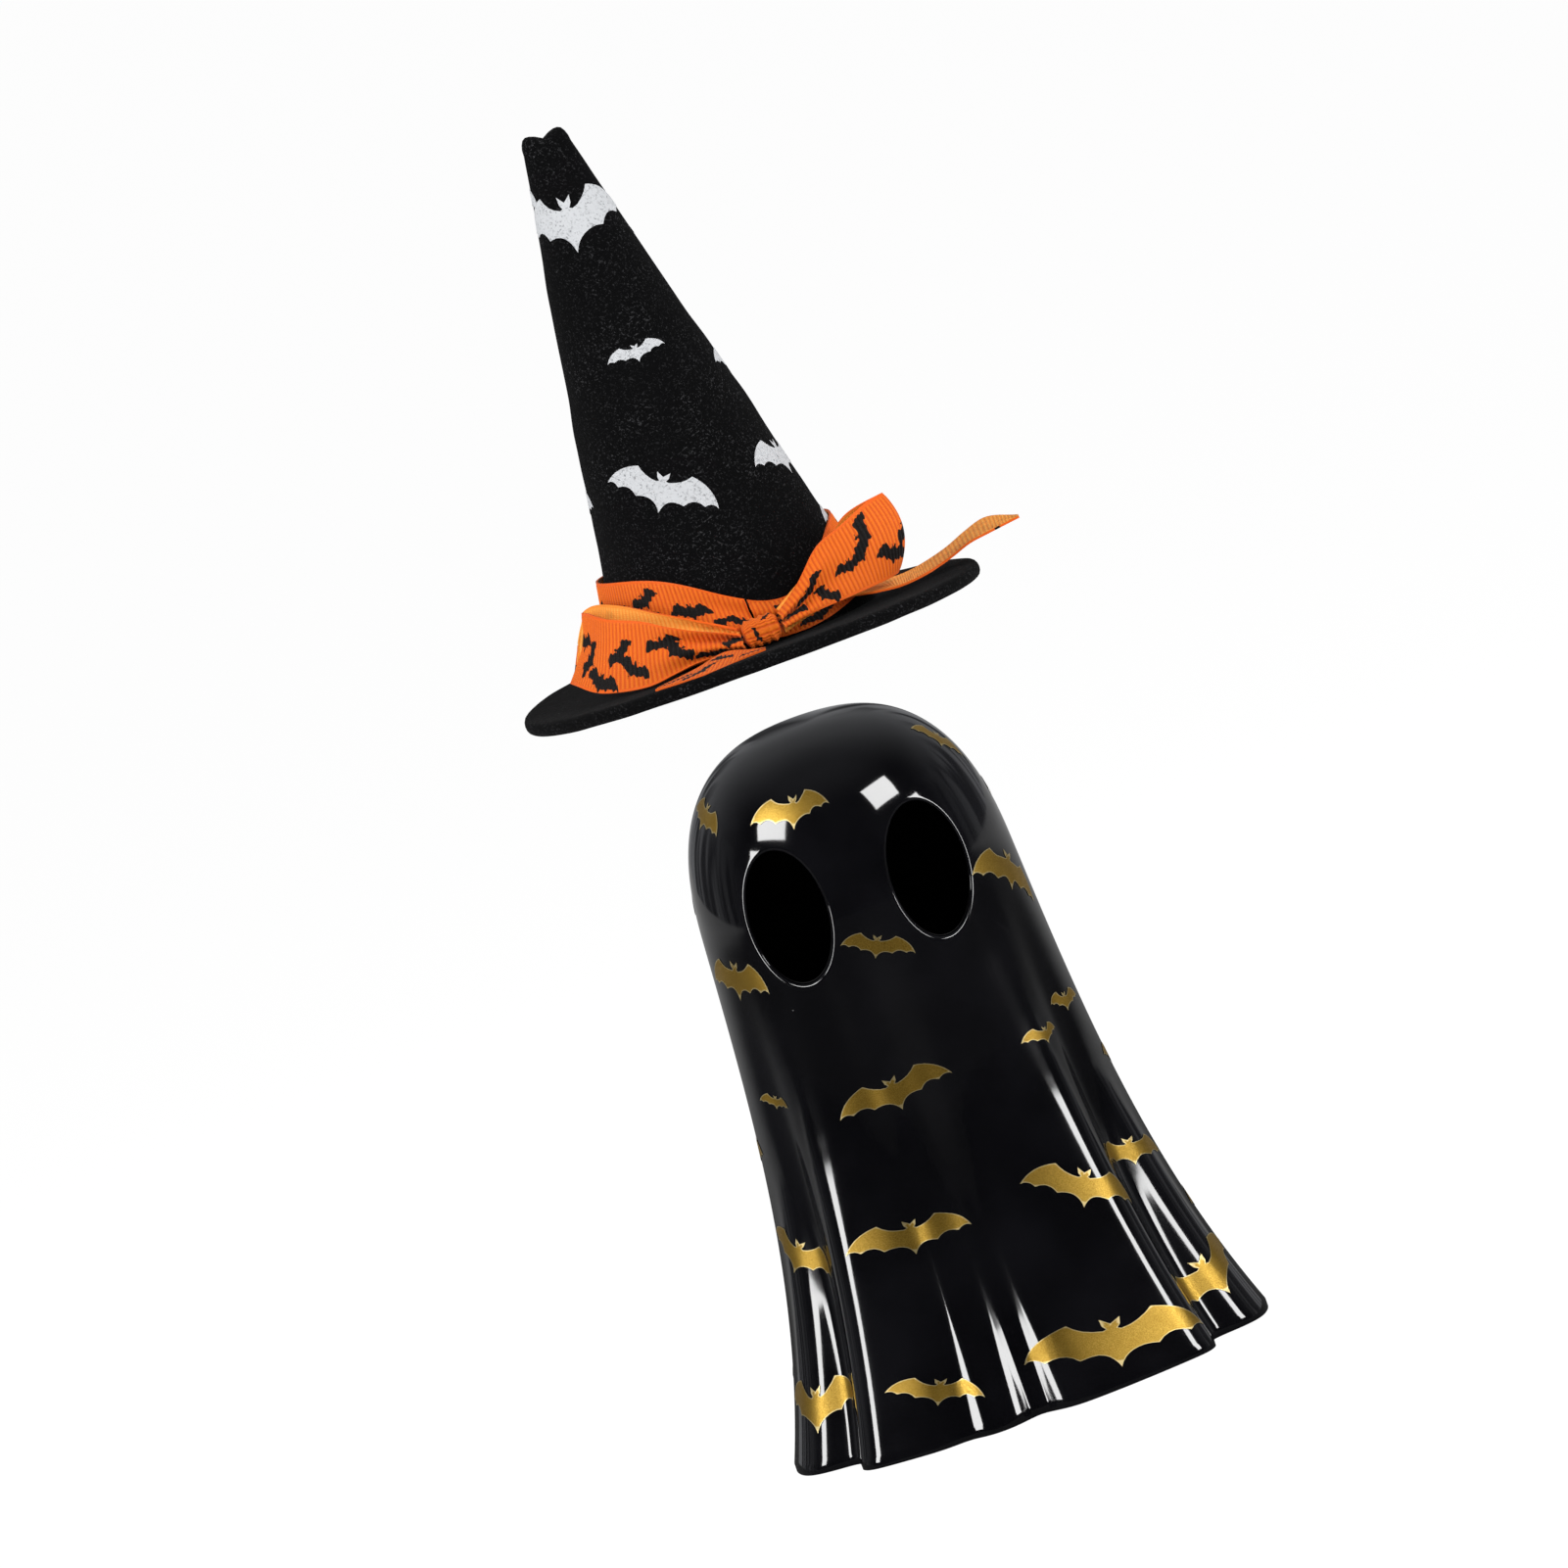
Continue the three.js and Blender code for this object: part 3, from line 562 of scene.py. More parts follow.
def fibre_group() -> NodeTree:
    """Gives the group for short fibres that lie across each other in three directions."""
    directions = ((0.3, 0.9, 0.2), (1.2, 0.1, 1.0), (0.7, 2.0, 2.4))
    unchanged, drawn_out = (1.0, 1.0, 1.0), (1.0, 1.0, 0.4)

    def fill(graph: Graph, entry: Node, exit_: Node) -> None:
        """Puts the nodes in."""
        given = entry.outputs
        place = graph.object_place()
        layers = []
        for direction in directions:
            along = graph.stretch(graph.stretch(place, unchanged, direction), drawn_out)
            layers.append(graph.noise(along, given["Scale"], 2.0))
        top = graph.sum("MAXIMUM", graph.sum("MAXIMUM", layers[0], layers[1]), layers[2])
        graph.feed(exit_, {"Mask": graph.ramp(top, given["Low"], given["High"]), "Height": top})
    return shared_group("fibres", (*MASK_SOCKETS, Socket("Height", is_output=True)), fill)


@dataclass(frozen=True)
class Grain:
    """Specks, clouds or fibres: how many there are to a metre, and the levels they fade between."""

    per_metre: float
    low: float
    high: float

    def place(self, graph: Graph, group: NodeTree) -> Node:
        """Adds the node of a shared group with these values."""
        inputs = {"Scale": self.per_metre, "Low": self.low, "High": self.high}
        return graph.node("Group", inputs, node_tree=group)

    def mask(self, graph: Graph) -> NodeSocket:
        """Gives the mask of specks or clouds."""
        return self.place(graph, grain_group()).outputs["Mask"]

    def fibres(self, graph: Graph) -> tuple[NodeSocket, NodeSocket]:
        """Gives the mask of fibres and their height."""
        outputs = self.place(graph, fibre_group()).outputs
        return outputs["Mask"], outputs["Height"]


@dataclass(frozen=True)
class Finish:
    """What every finish has."""

    name: str
    colour: Colour
    roughness: float

    def paint(self, graph: Graph, shader: Node) -> None:
        """Adds to the plain colour and roughness what makes this finish.

        Args:
            graph: Graph of the material.
            shader: Its Principled shader.
        """
        raise NotImplementedError

    def material(self) -> Material:
        """Gives the material, and builds it when it is asked for first.

        Returns:
            The material, the same one each time.
        """
        if self.name in bpy.data.materials:
            return bpy.data.materials[self.name]
        material, graph, shader = new_material(self.name)
        graph.feed(shader, {"Base Color": self.colour, "Roughness": self.roughness})
        self.paint(graph, shader)
        return material


def dress(piece: Object, *finishes: Finish) -> None:
    """Gives a piece its finishes, with the first one on all its faces."""
    piece.data.materials.clear()
    for finish in finishes:
        piece.data.materials.append(finish.material())


@dataclass(frozen=True)
class Glaze(Finish):
    """Black glaze: a deep gloss with a faint waviness and a few pinholes."""

    clouds: Grain = Grain(45.0, 0.35, 0.7)
    pinholes: Grain = Grain(900.0, 0.76, 0.82)
    deep_share: float = 0.55
    cloudy_share: float = 1.5
    pinhole_roughness: float = 0.2
    waves_per_metre: float = 160.0
    waves: Relief = Relief(0.05, 0.35)
    pits: Relief = Relief(-0.03, 0.5)
    refraction: float = 1.6

    def paint(self, graph: Graph, shader: Node) -> None:
        """Adds clouds in the gloss, pinholes and waves."""
        clouds = self.clouds.mask(graph)
        pinholes = self.pinholes.mask(graph)
        rough = graph.spread(clouds, self.roughness, self.roughness * self.cloudy_share)
        wavy = graph.bump(graph.noise(graph.object_place(), self.waves_per_metre, 1.0), self.waves)
        graph.feed(shader, {
            "Base Color": graph.blend(clouds, darker(self.colour, self.deep_share), self.colour),
            "Roughness": graph.sum("MULTIPLY_ADD", pinholes, self.pinhole_roughness, rough),
            "Normal": graph.bump(pinholes, self.pits, wavy),
            "IOR": self.refraction,
        })


@dataclass(frozen=True)
class Lustre(Finish):
    """Gold print fired on the glaze: a satin metal with grain and a paler rim."""

    rim_colour: Colour = ink(228, 212, 160)
    shade_colour: Colour = ink(150, 116, 38)
    specks: Grain = Grain(5200.0, 0.3, 0.72)
    clouds: Grain = Grain(260.0, 0.3, 0.75)
    cloud_share: float = 0.35
    rim_fade: Pair = (0.10, 0.26)
    rim_share: float = 0.75
    rough_shares: Pair = (1.25, 0.85)
    grain_relief: Relief = Relief(0.02, 0.4)
    metal: float = 0.9

    def paint(self, graph: Graph, shader: Node) -> None:
        """Adds the grain, darker clouds and the rim."""
        specks = self.specks.mask(graph)
        body = graph.blend(specks, self.shade_colour, self.colour)
        clouds = graph.times(self.clouds.mask(graph), self.cloud_share)
        body = graph.blend(clouds, body, self.shade_colour)
        rim = graph.ramp(graph.on_points("rim"), *self.rim_fade, self.rim_share, 0.0)
        graph.feed(shader, {
            "Base Color": graph.blend(rim, body, self.rim_colour),
            "Roughness": graph.spread(specks, *[self.roughness * share for share in self.rough_shares]),
            "Normal": graph.bump(specks, self.grain_relief),
            "Metallic": self.metal,
        })


@dataclass(frozen=True)
class Felt(Finish):
    """Pressed black felt: fibres that lie across each other, a few of them catching the light."""

    fibre_glint_colour: Colour = ink(62, 62, 64)
    fibres: Grain = Grain(2300.0, 0.6, 0.78)
    patches: Grain = Grain(90.0, 0.3, 0.75)
    least_fibres: float = 0.35
    lumps_per_metre: float = 420.0
    lumps: Relief = Relief(0.35, 0.4)
    fibre_relief: Relief = Relief(0.2, 0.5)
    shine: float = 0.06
    sheen: float = 0.015
    sheen_roughness: float = 0.6

    def paint(self, graph: Graph, shader: Node) -> None:
        """Adds the fibres as painted glints, patches with more of them, and lumps."""
        fibres, height = self.fibres.fibres(graph)
        patches = self.patches.mask(graph)
        amount = graph.times(fibres, graph.spread(patches, self.least_fibres, 1.0))
        lumpy = graph.bump(graph.noise(graph.object_place(), self.lumps_per_metre, 3.0), self.lumps)
        # Painted highlight: the pale fibres are glints coloured into the base.
        graph.feed(shader, {
            "Base Color": graph.blend(amount, self.colour, self.fibre_glint_colour),
            "Normal": graph.bump(height, self.fibre_relief, lumpy),
            "Roughness": graph.spread(patches, self.roughness, 1.0),
            "Specular IOR Level": self.shine,
            "Sheen Weight": self.sheen,
            "Sheen Roughness": self.sheen_roughness,
        })


@dataclass(frozen=True)
class FeltPrint(Finish):
    """White ink pressed on felt, with the fibres showing through it."""

    crack_colour: Colour = ink(96, 98, 102)
    fibres: Grain = Grain(2000.0, 0.58, 0.76)
    worn: Grain = Grain(1100.0, 0.62, 0.78)
    crack_share: float = 0.7
    worn_share: float = 0.45
    worn_roughness: float = 0.9
    fibre_relief: Relief = Relief(0.3, 0.7)

    def paint(self, graph: Graph, shader: Node) -> None:
        """Adds cracks along the fibres and worn places."""
        fibres, height = self.fibres.fibres(graph)
        worn = self.worn.mask(graph)
        tone = graph.blend(graph.times(fibres, self.crack_share), self.colour, self.crack_colour)
        graph.feed(shader, {
            "Base Color": graph.blend(graph.times(worn, self.worn_share), tone, self.crack_colour),
            "Normal": graph.bump(height, self.fibre_relief),
            "Roughness": graph.spread(worn, self.roughness, self.worn_roughness),
        })


@dataclass(frozen=True)
class Grosgrain(Finish):
    """Ribbed ribbon with a firm edge, painted shade in its grooves, and on its face a print in black.

    The mesh holds the place along and across the ribbon and the distance to the print's bats. The
    print steps in and out with the ribs, and its own edge is soft.
    """

    print_colour: Colour = ink(16, 9, 7)
    groove_shade_and_fuzz_colour: Colour = ink(214, 84, 12)
    edge_colour: Colour = ink(236, 92, 16)
    rib_pitch: float = 1.05
    rib_crest: float = 0.6
    thread_pitch: float = 0.42
    width: float = 16.0
    edge_fade: Pair = (0.75, 0.45)
    edge_share: float = 0.7
    fuzz: Grain = Grain(2600.0, 0.35, 0.7)
    clouds: Grain = Grain(170.0, 0.3, 0.75)
    thread_shade: float = 0.12
    fuzz_shade: float = 0.14
    cloud_shade: float = 0.1
    print_steps: Pair = (0.12, -0.1)
    print_fade: Pair = (-0.07, 0.05)
    print_share: float = 1.0
    fuzz_roughness: float = 1.3
    thread_relief: Relief = Relief(0.06, 0.6)
    rib_relief: Relief = Relief(0.12, 0.5)
    shine: float = 0.2
    sheen: float = 0.05
    sheen_roughness: float = 0.45

    def paint(self, graph: Graph, shader: Node) -> None:
        """Adds ribs and threads with painted shade between them, the firm edge, fuzz and the print."""
        across = graph.on_points("across")
        rib_turn = graph.times(graph.on_points("along"), 2.0 * math.pi / self.rib_pitch)
        ribs = graph.ramp(graph.sum("COSINE", rib_turn), -1.0, self.rib_crest)
        half = self.width / 2.0
        from_middle = graph.sum("ABSOLUTE", graph.sum("SUBTRACT", across, half))
        edge = graph.ramp(from_middle, *[half - fade for fade in self.edge_fade])
        inner_ribs = graph.sum("MAXIMUM", ribs, edge)
        thread_turn = graph.times(across, 2.0 * math.pi / self.thread_pitch)
        threads = graph.ramp(graph.sum("SINE", thread_turn), -1.0, 1.0)
        fuzz = self.fuzz.mask(graph)
        # Painted shade: the grooves between the ribs take the darker tone.
        tone = graph.blend(inner_ribs, self.groove_shade_and_fuzz_colour, self.colour)
        tone = graph.blend(graph.times(edge, self.edge_share), tone, self.edge_colour)
        fuzzy = graph.times(fuzz, self.fuzz_shade)
        # Painted shade between the threads, with fuzz and clouds darkening the tone at random.
        shade = graph.sum("ADD", graph.times(threads, self.thread_shade), fuzzy)
        shade = graph.sum("ADD", shade, graph.times(self.clouds.mask(graph), self.cloud_shade))
        tone = graph.blend(shade, tone, self.groove_shade_and_fuzz_colour)
        stepped = graph.sum("ADD", graph.on_points("print"), graph.spread(ribs, *self.print_steps))
        inked = graph.ramp(stepped, *self.print_fade, self.print_share, 0.0)
        graph.feed(shader, {
            "Base Color": graph.blend(inked, tone, self.print_colour),
            "Roughness": graph.spread(fuzz, self.roughness, self.roughness * self.fuzz_roughness),
            "Normal": graph.bump(inner_ribs, self.rib_relief, graph.bump(threads, self.thread_relief)),
            "Sheen Weight": self.sheen,
            "Sheen Roughness": self.sheen_roughness,
            "Specular IOR Level": self.shine,
        })


@dataclass(frozen=True)
class Moulded(Finish):
    """Moulded plastic or rubber: an even skin with a fine spark texture and a little dust."""

    texture: float = 0.03
    pitch: float = 0.35
    levels: Pair = (0.3, 0.7)
    see_through: float = 0.0
    dust: Grain = Grain(140.0, 0.45, 0.8)
    dust_share: float = 0.6
    dust_light: float = 0.5
    dust_paleness: float = 0.06
    rough_shares: Pair = (0.85, 1.15)
    texture_strength: float = 0.6

    def paint(self, graph: Graph, shader: Node) -> None:
        """Adds the spark texture and the dust."""
        spark = Grain(1.0 / MM / self.pitch, *self.levels).mask(graph)
        dust = graph.times(self.dust.mask(graph), self.dust_share)
        pale = tuple(mix(channel, self.dust_light, self.dust_paleness) for channel in self.colour)
        graph.feed(shader, {
            "Base Color": graph.blend(dust, self.colour, pale),
            "Roughness": graph.spread(spark, *[self.roughness * share for share in self.rough_shares]),
            "Normal": graph.bump(spark, Relief(self.texture, self.texture_strength)),
            "Transmission Weight": self.see_through,
        })


@dataclass(frozen=True)
class BrushedMetal(Finish):
    """Sheet or turned metal with fine lines along one direction and soft marks."""

    lines: Triple = (1.0, 0.06, 1.0)
    lines_per_metre: float = 6000.0
    line_levels: Pair = (0.3, 0.7)
    rough_shares: Pair = (0.8, 1.3)
    line_relief: Relief = Relief(0.01, 0.5)
    marks: Grain = Grain(500.0, 0.5, 0.75)
    mark_share: float = 0.6
    dull_share: float = 0.72

    def paint(self, graph: Graph, shader: Node) -> None:
        """Adds the lines and the dull marks."""
        drawn = graph.noise(graph.stretch(graph.object_place(), self.lines), self.lines_per_metre, 2.0)
        marks = graph.times(self.marks.mask(graph), self.mark_share)
        rough = [self.roughness * share for share in self.rough_shares]
        graph.feed(shader, {
            "Base Color": graph.blend(marks, self.colour, darker(self.colour, self.dull_share)),
            "Roughness": graph.ramp(drawn, *self.line_levels, *rough),
            "Normal": graph.bump(drawn, self.line_relief),
            "Metallic": 1.0,
        })


@dataclass(frozen=True)
class PrintedBoard(Finish):
    """Green solder mask over copper tracks."""

    track_colour: Colour = ink(44, 112, 66)
    tracks_per_metre: Triple = (210.0, 330.0, 0.0)
    track_width: float = 0.09
    track_shift: float = 0.35
    track_squash: float = 0.7
    specks: Grain = Grain(1800.0, 0.55, 0.75)
    speck_share: float = 0.4
    dim_share: float = 0.6
    track_relief: Relief = Relief(0.05, 0.5)

    def paint(self, graph: Graph, shader: Node) -> None:
        """Adds the tracks and specks in the mask."""
        place = graph.stretch(graph.object_place(), self.tracks_per_metre)
        inputs = {"Vector": place, "Scale": 1.0, "Mortar Size": self.track_width}
        tracks = graph.node("TexBrick", inputs, offset=self.track_shift,
                            squash=self.track_squash).outputs["Fac"]
        specks = graph.times(self.specks.mask(graph), self.speck_share)
        tone = graph.blend(tracks, self.colour, self.track_colour)
        graph.feed(shader, {
            "Base Color": graph.blend(specks, tone, darker(self.colour, self.dim_share)),
            "Normal": graph.bump(tracks, self.track_relief),
        })


@dataclass(frozen=True)
class Clay(Finish):
    """Fired clay without glaze: bare on the ring that the ghost stands on, and painted near black in its
    hollow as shade.
    """

    specks: Grain = Grain(1500.0, 0.5, 0.72)
    dark_share: float = 0.6
    speck_relief: Relief = Relief(0.05, 0.5)

    def paint(self, graph: Graph, shader: Node) -> None:
        """Adds dark specks."""
        specks = self.specks.mask(graph)
        graph.feed(shader, {
            "Base Color": graph.blend(specks, self.colour, darker(self.colour, self.dark_share)),
            "Normal": graph.bump(specks, self.speck_relief),
        })


GLAZE = Glaze("black_glaze", ink(14, 14, 17), 0.055)
# The hollow's clay is painted near black as shade; the same clay is grey on the foot ring.
HOLLOW_PAINTED_SHADE = Clay("dark_clay_inside", ink(6, 6, 7), 0.9)
FOOT_RING = Clay("bare_foot_ring", ink(92, 88, 84), 0.85)
GOLD = Lustre("gold_lustre", ink(204, 168, 78), 0.38)
FELT = Felt("black_felt", ink(6, 6, 7), 0.95)
WHITE_PRINT = FeltPrint("white_felt_print", ink(198, 200, 203), 0.7)
RIBBON_FACE = Grosgrain("orange_ribbon_face", ink(238, 116, 20), 0.55)
# The back is a paler, lit copy of the face's orange: painted light on the upturned tails.
RIBBON_BACK_PAINTED_LIT = Grosgrain("orange_ribbon_back", ink(255, 174, 74), 0.55, groove_shade_and_fuzz_colour=ink(250, 152, 54),
                        edge_colour=ink(244, 132, 36), print_share=0.12)
HOUSING = Moulded("module_black", ink(26, 26, 29), 0.5)
SOFT_RING = Moulded("soft_grey_ring", ink(186, 180, 168), 0.62, texture=0.015, pitch=0.6)
FROSTED = Moulded("frosted_cap", ink(240, 238, 230), 0.55, see_through=0.55)
LAMP = Moulded("clear_lamp_resin", ink(252, 244, 214), 0.12, texture=0.004, pitch=2.0, see_through=0.75)
CHIP = Moulded("tan_resistor_body", ink(198, 170, 124), 0.45, texture=0.02, pitch=0.4)
BOARD = PrintedBoard("green_board", ink(22, 80, 46), 0.4)
STEEL = BrushedMetal("bright_steel", ink(190, 192, 196), 0.28)
SPRING = BrushedMetal("spring_brass", ink(206, 178, 108), 0.3, lines=(0.06, 1.0, 1.0))


# Bat figures

class Sheet(Enum):
    """What a row of bats is laid on, with its distance over that surface."""

    GLAZE = 0.11
    FELT = 0.16


WING_BEND: Pair = (0.04, 0.34)


@dataclass(frozen=True)
class Bat:
    """One printed bat.

    The place is that of the body, as an angle and a height on the form. The body's length runs from
    the head to the tail, the turn is clockwise, and each wing has its own span and lift. A lifted wing
    bends over the part of its span that WING_BEND gives.
    """

    angle: float
    height: float
    body: float
    turn: float
    left_span: float
    right_span: float
    left_lift: float = 0.0
    right_lift: float = 0.0

    def lay(self, x: float, y: float, body_share: float) -> Pair:
        """Turns a place on the stencil into a place on the surface.

        Args:
            x: Place across the stencil, 1 at the right wing tip.
            y: Place up the stencil from the middle of its body.
            body_share: Length of the stencil's body.

        Returns:
            How far the place lies to the right of the body and above it.
        """
        span, lift = (self.right_span, self.right_lift) if x > 0.0 else (self.left_span, self.left_lift)
        across = abs(x) * span
        up = y * self.body / body_share
        turn = math.radians(lift) * smoothstep(*WING_BEND, abs(x))
        across, up = (across * math.cos(turn) - up * math.sin(turn),
                      across * math.sin(turn) + up * math.cos(turn))
        across = math.copysign(across, x)
        lean = math.radians(self.turn)
        return (across * math.cos(lean) + up * math.sin(lean),
                up * math.cos(lean) - across * math.sin(lean))


def plain_bat(angle: float, height: float, span: float, turn: float) -> Bat:
    """Gives a bat of usual proportions for its left wing's span, with wings that follow its turn."""
    return Bat(angle, height, span * 0.58, turn, span, span * 0.94, 0.04 * turn, -0.05 * turn)


@dataclass(frozen=True)
class BatStencil:
    """A plain bat with spread wings, 1 from the middle of its body to a wing tip."""

    crown: float = 0.105
    ear: Pair = (0.112, 0.19)
    cheek: Pair = (0.098, 0.085)
    neck: Pair = (0.058, 0.03)
    shoulder: Pair = (0.1, 0.012)
    wrist: Pair = (0.46, 0.215)
    tip: Pair = (1.0, -0.27)
    fingers: tuple[Pair, ...] = ((0.765, -0.28), (0.42, -0.335))
    tail: Pair = (0.0, -0.55)
    arm_rise: float = -0.04
    hand_rise: float = 0.092
    web_rises: Pair = (-0.055, -0.085)
    flank_rise: float = -0.12
    grid: float = 0.075

    @property
    def body_share(self) -> float:
        """Length of the body from the ears to the tail."""
        return self.ear[1] - self.tail[1]

    @property
    def body_middle(self) -> float:
        """Height of the middle of the body."""
        return (self.ear[1] + self.tail[1]) / 2.0

    def outline(self) -> Points2D:
        """Draws the whole bat, clockwise from between its ears.

        Returns:
            Its corners.
        """
        half = [(0.0, self.crown), self.ear, self.cheek, self.neck]
        half += bulge(self.shoulder, self.wrist, self.arm_rise, 4)
        half += bulge(self.wrist, self.tip, self.hand_rise, 8)
        corners = [self.tip, *self.fingers]
        for (start, end), rise in zip(zip(corners, corners[1:]), self.web_rises):
            half += bulge(start, end, rise, 5)
        half += bulge(self.fingers[-1], self.tail, self.flank_rise, 8)
        mirrored = [(-x, y) for x, y in reversed(half[1:])]
        return half + [self.tail] + mirrored

    def flat_piece(self) -> Object:
        """Makes the flat bat, cut into small faces that can bend.

        Returns:
            The flat piece, 1 metre from its middle to a wing tip, facing up.
        """
        outline = self.outline()
        put_down()
        bpy.ops.mesh.primitive_circle_add(vertices=len(outline), radius=1.0, fill_type="NGON")
        piece = bpy.context.object
        piece.name = "bat_stencil"
        for vertex, (x, y) in zip(piece.data.vertices, outline):
            vertex.co = (x, y, 0.0)
        with editing(piece):
            bpy.ops.mesh.select_all(action="SELECT")
            bpy.ops.mesh.quads_convert_to_tris(quad_method="BEAUTY", ngon_method="BEAUTY")
            cuts_across, cuts_up = (0, 1.0), (1, 0.5)
            for axis, reach in (cuts_across, cuts_up):
                normal = Vector((0.0, 0.0, 0.0))
                normal[axis] = 1.0
                for step in range(int(-reach / self.grid), int(reach / self.grid) + 1):
                    bpy.ops.mesh.select_all(action="SELECT")
                    bpy.ops.mesh.bisect(plane_co=normal * (step + 0.5) * self.grid, plane_no=normal)
            bpy.ops.mesh.select_all(action="SELECT")
            bpy.ops.mesh.remove_doubles(threshold=1e-5)
        if piece.data.polygons[0].normal.z < 0.0:
            piece.data.flip_normals()
        return piece

    def lay_row(self, name: str, bats: Sequence[Bat], sheet: Sheet,
                place: Callable[[Bat, float, float, float], Vector]) -> Object:
        """Lays a row of bats on a form and joins them.

        Args:
            name: Name of the joined piece.
            bats: The bats.
            sheet: What they are laid on.
            place: Gives a point over the form from a bat, a place beside its body and a distance.

        Returns:
            The joined piece.
        """
        stencil = self.flat_piece()
        corners = np.array([vertex.co.xy for vertex in stencil.data.vertices])
        to_rim = np.abs(signed_distance(corners, np.array(self.outline())))
        copies = []
        for bat in bats:
            copy = bpy.data.objects.new(name, stencil.data.copy())
            bpy.context.scene.collection.objects.link(copy)
            size = (bat.left_span + bat.right_span) / 2.0
            note(copy, "rim", to_rim * size)
            for vertex in copy.data.vertices:
                beside = bat.lay(vertex.co.x, vertex.co.y - self.body_middle, self.body_share)
                vertex.co = place(bat, *beside, sheet.value) * MM
            copies.append(copy)
        bpy.data.objects.remove(stencil)
        take_up(copies[0])
        for copy in copies:
            copy.select_set(True)
        bpy.ops.object.join()
        joined = bpy.context.object
        joined.name = name
        smooth(joined)
        return joined


class Meridian:
    """Lengths along the outside of a turned form, from its foot to its top."""

    def __init__(self, radius: Callable[[float], float], heights: Sequence[float]) -> None:
        """Measures the form.

        Args:
            radius: Gives the radius at a height.
            heights: Heights from foot to top, close enough for straight stretches between them.
        """
        self.heights = list(heights)
        self.lengths = [0.0]
        for low, high in zip(self.heights, self.heights[1:]):
            self.lengths.append(self.lengths[-1] + math.hypot(high - low, radius(high) - radius(low)))

    @staticmethod
    def read(value: float, from_list: list[float], to_list: list[float]) -> float:
        """Finds a value in one list and gives what the other list has there.

        Args:
            value: The value.
            from_list: Rising values.
            to_list: As many other values.

        Returns:
            The other list's value there.
        """
        after = min(max(bisect_left(from_list, value), 1), len(from_list) - 1)
        start, end = from_list[after - 1], from_list[after]
        share = min(max((value - start) / (end - start), 0.0), 1.0)
        return mix(to_list[after - 1], to_list[after], share)

    def climb(self, height: float, length: float) -> float:
        """Gives the height that is reached by going a length up the form from a height."""
        start = self.read(height, self.heights, self.lengths)
        return self.read(start + length, self.lengths, self.heights)


# Ghost

@dataclass(frozen=True)
class Fold:
    """A valley in the gown that deepens towards the hem."""

    angle: float
    depth: float
    width: float
    growth: float

    def drawn_in(self, angle: float, down: float) -> float:
        """Gives how far it draws the wall in at an angle and a share of the way down."""
        return self.depth * down ** self.growth * bell(wrapped(angle - self.angle), self.width)


@dataclass(frozen=True)
class Panel:
    """The front of the gown, which hangs flatter between two soft ridges."""

    depth: float = 5.0
    growth: float = 1.2
    ridge_angle: float = 44.5
    softness: float = 0.06
    least_cosine: float = 0.1

    def drawn_in(self, angle: float, down: float) -> float:
        """Gives how far it lies behind the round gown at an angle and a share of the way down.

        Args:
            angle: Angle round the gown.
            down: Share of the way from the shoulder to the hem.

        Returns:
            The depth.
        """
        ridge = math.cos(math.radians(self.ridge_angle))
        facing_front = max(math.cos(math.radians(angle)), self.least_cosine)
        flat = (1.0 - ridge / facing_front) / (1.0 - ridge)
        soft = self.softness * math.log1p(math.exp(flat / self.softness))
        return self.depth * down ** self.growth * soft


# The gown's folds: each kind by its depth, width and growth, then where they hang

FRONT_FOLD, SIDE_FOLD = (6.0, 6.5, 1.3), (7.4, 8.5, 1.25)
BACK_FOLD, PLEAT = (6.2, 10.0, 1.4), (2.4, 5.0, 1.2)
GOWN_FOLDS = (Panel(), Fold(0.0, *FRONT_FOLD), Fold(-60.0, *SIDE_FOLD), Fold(60.0, *SIDE_FOLD),
              Fold(-115.0, *BACK_FOLD), Fold(115.0, *BACK_FOLD), Fold(180.0, *FRONT_FOLD),
              Fold(-20.0, *PLEAT), Fold(145.0, *PLEAT))


@dataclass(frozen=True)
class EyeHole:
    """An upright oval hole that is cut straight through the front wall."""

    side: int
    spacing: float = 31.2
    height: float = 116.0
    width: float = 16.6
    length: float = 29.0
    tilt: float = 2.8

    def towards(self, x: float, z: float) -> tuple[float, float, float, float]:
        """Looks from the middle of the hole towards a place seen from the front.

        Args:
            x: The place to the right of the ghost's middle.
            z: The place's height.

        Returns:
            The point of the hole's edge on that way, and the way as a unit vector.
        """
        away = (x - self.side * self.spacing / 2.0, z - self.height)
        tilt = math.radians(self.tilt)
        across = away[0] * math.cos(tilt) - away[1] * math.sin(tilt)
        up = away[0] * math.sin(tilt) + away[1] * math.cos(tilt)
        ratio = math.hypot(across / (self.width / 2.0), up / (self.length / 2.0))
        beyond = 1.0 - 1.0 / ratio
        length = math.hypot(*away)
        return x - away[0] * beyond, z - away[1] * beyond, away[0] / length, away[1] / length


# The gold bats, those seen in front first, then those round the back

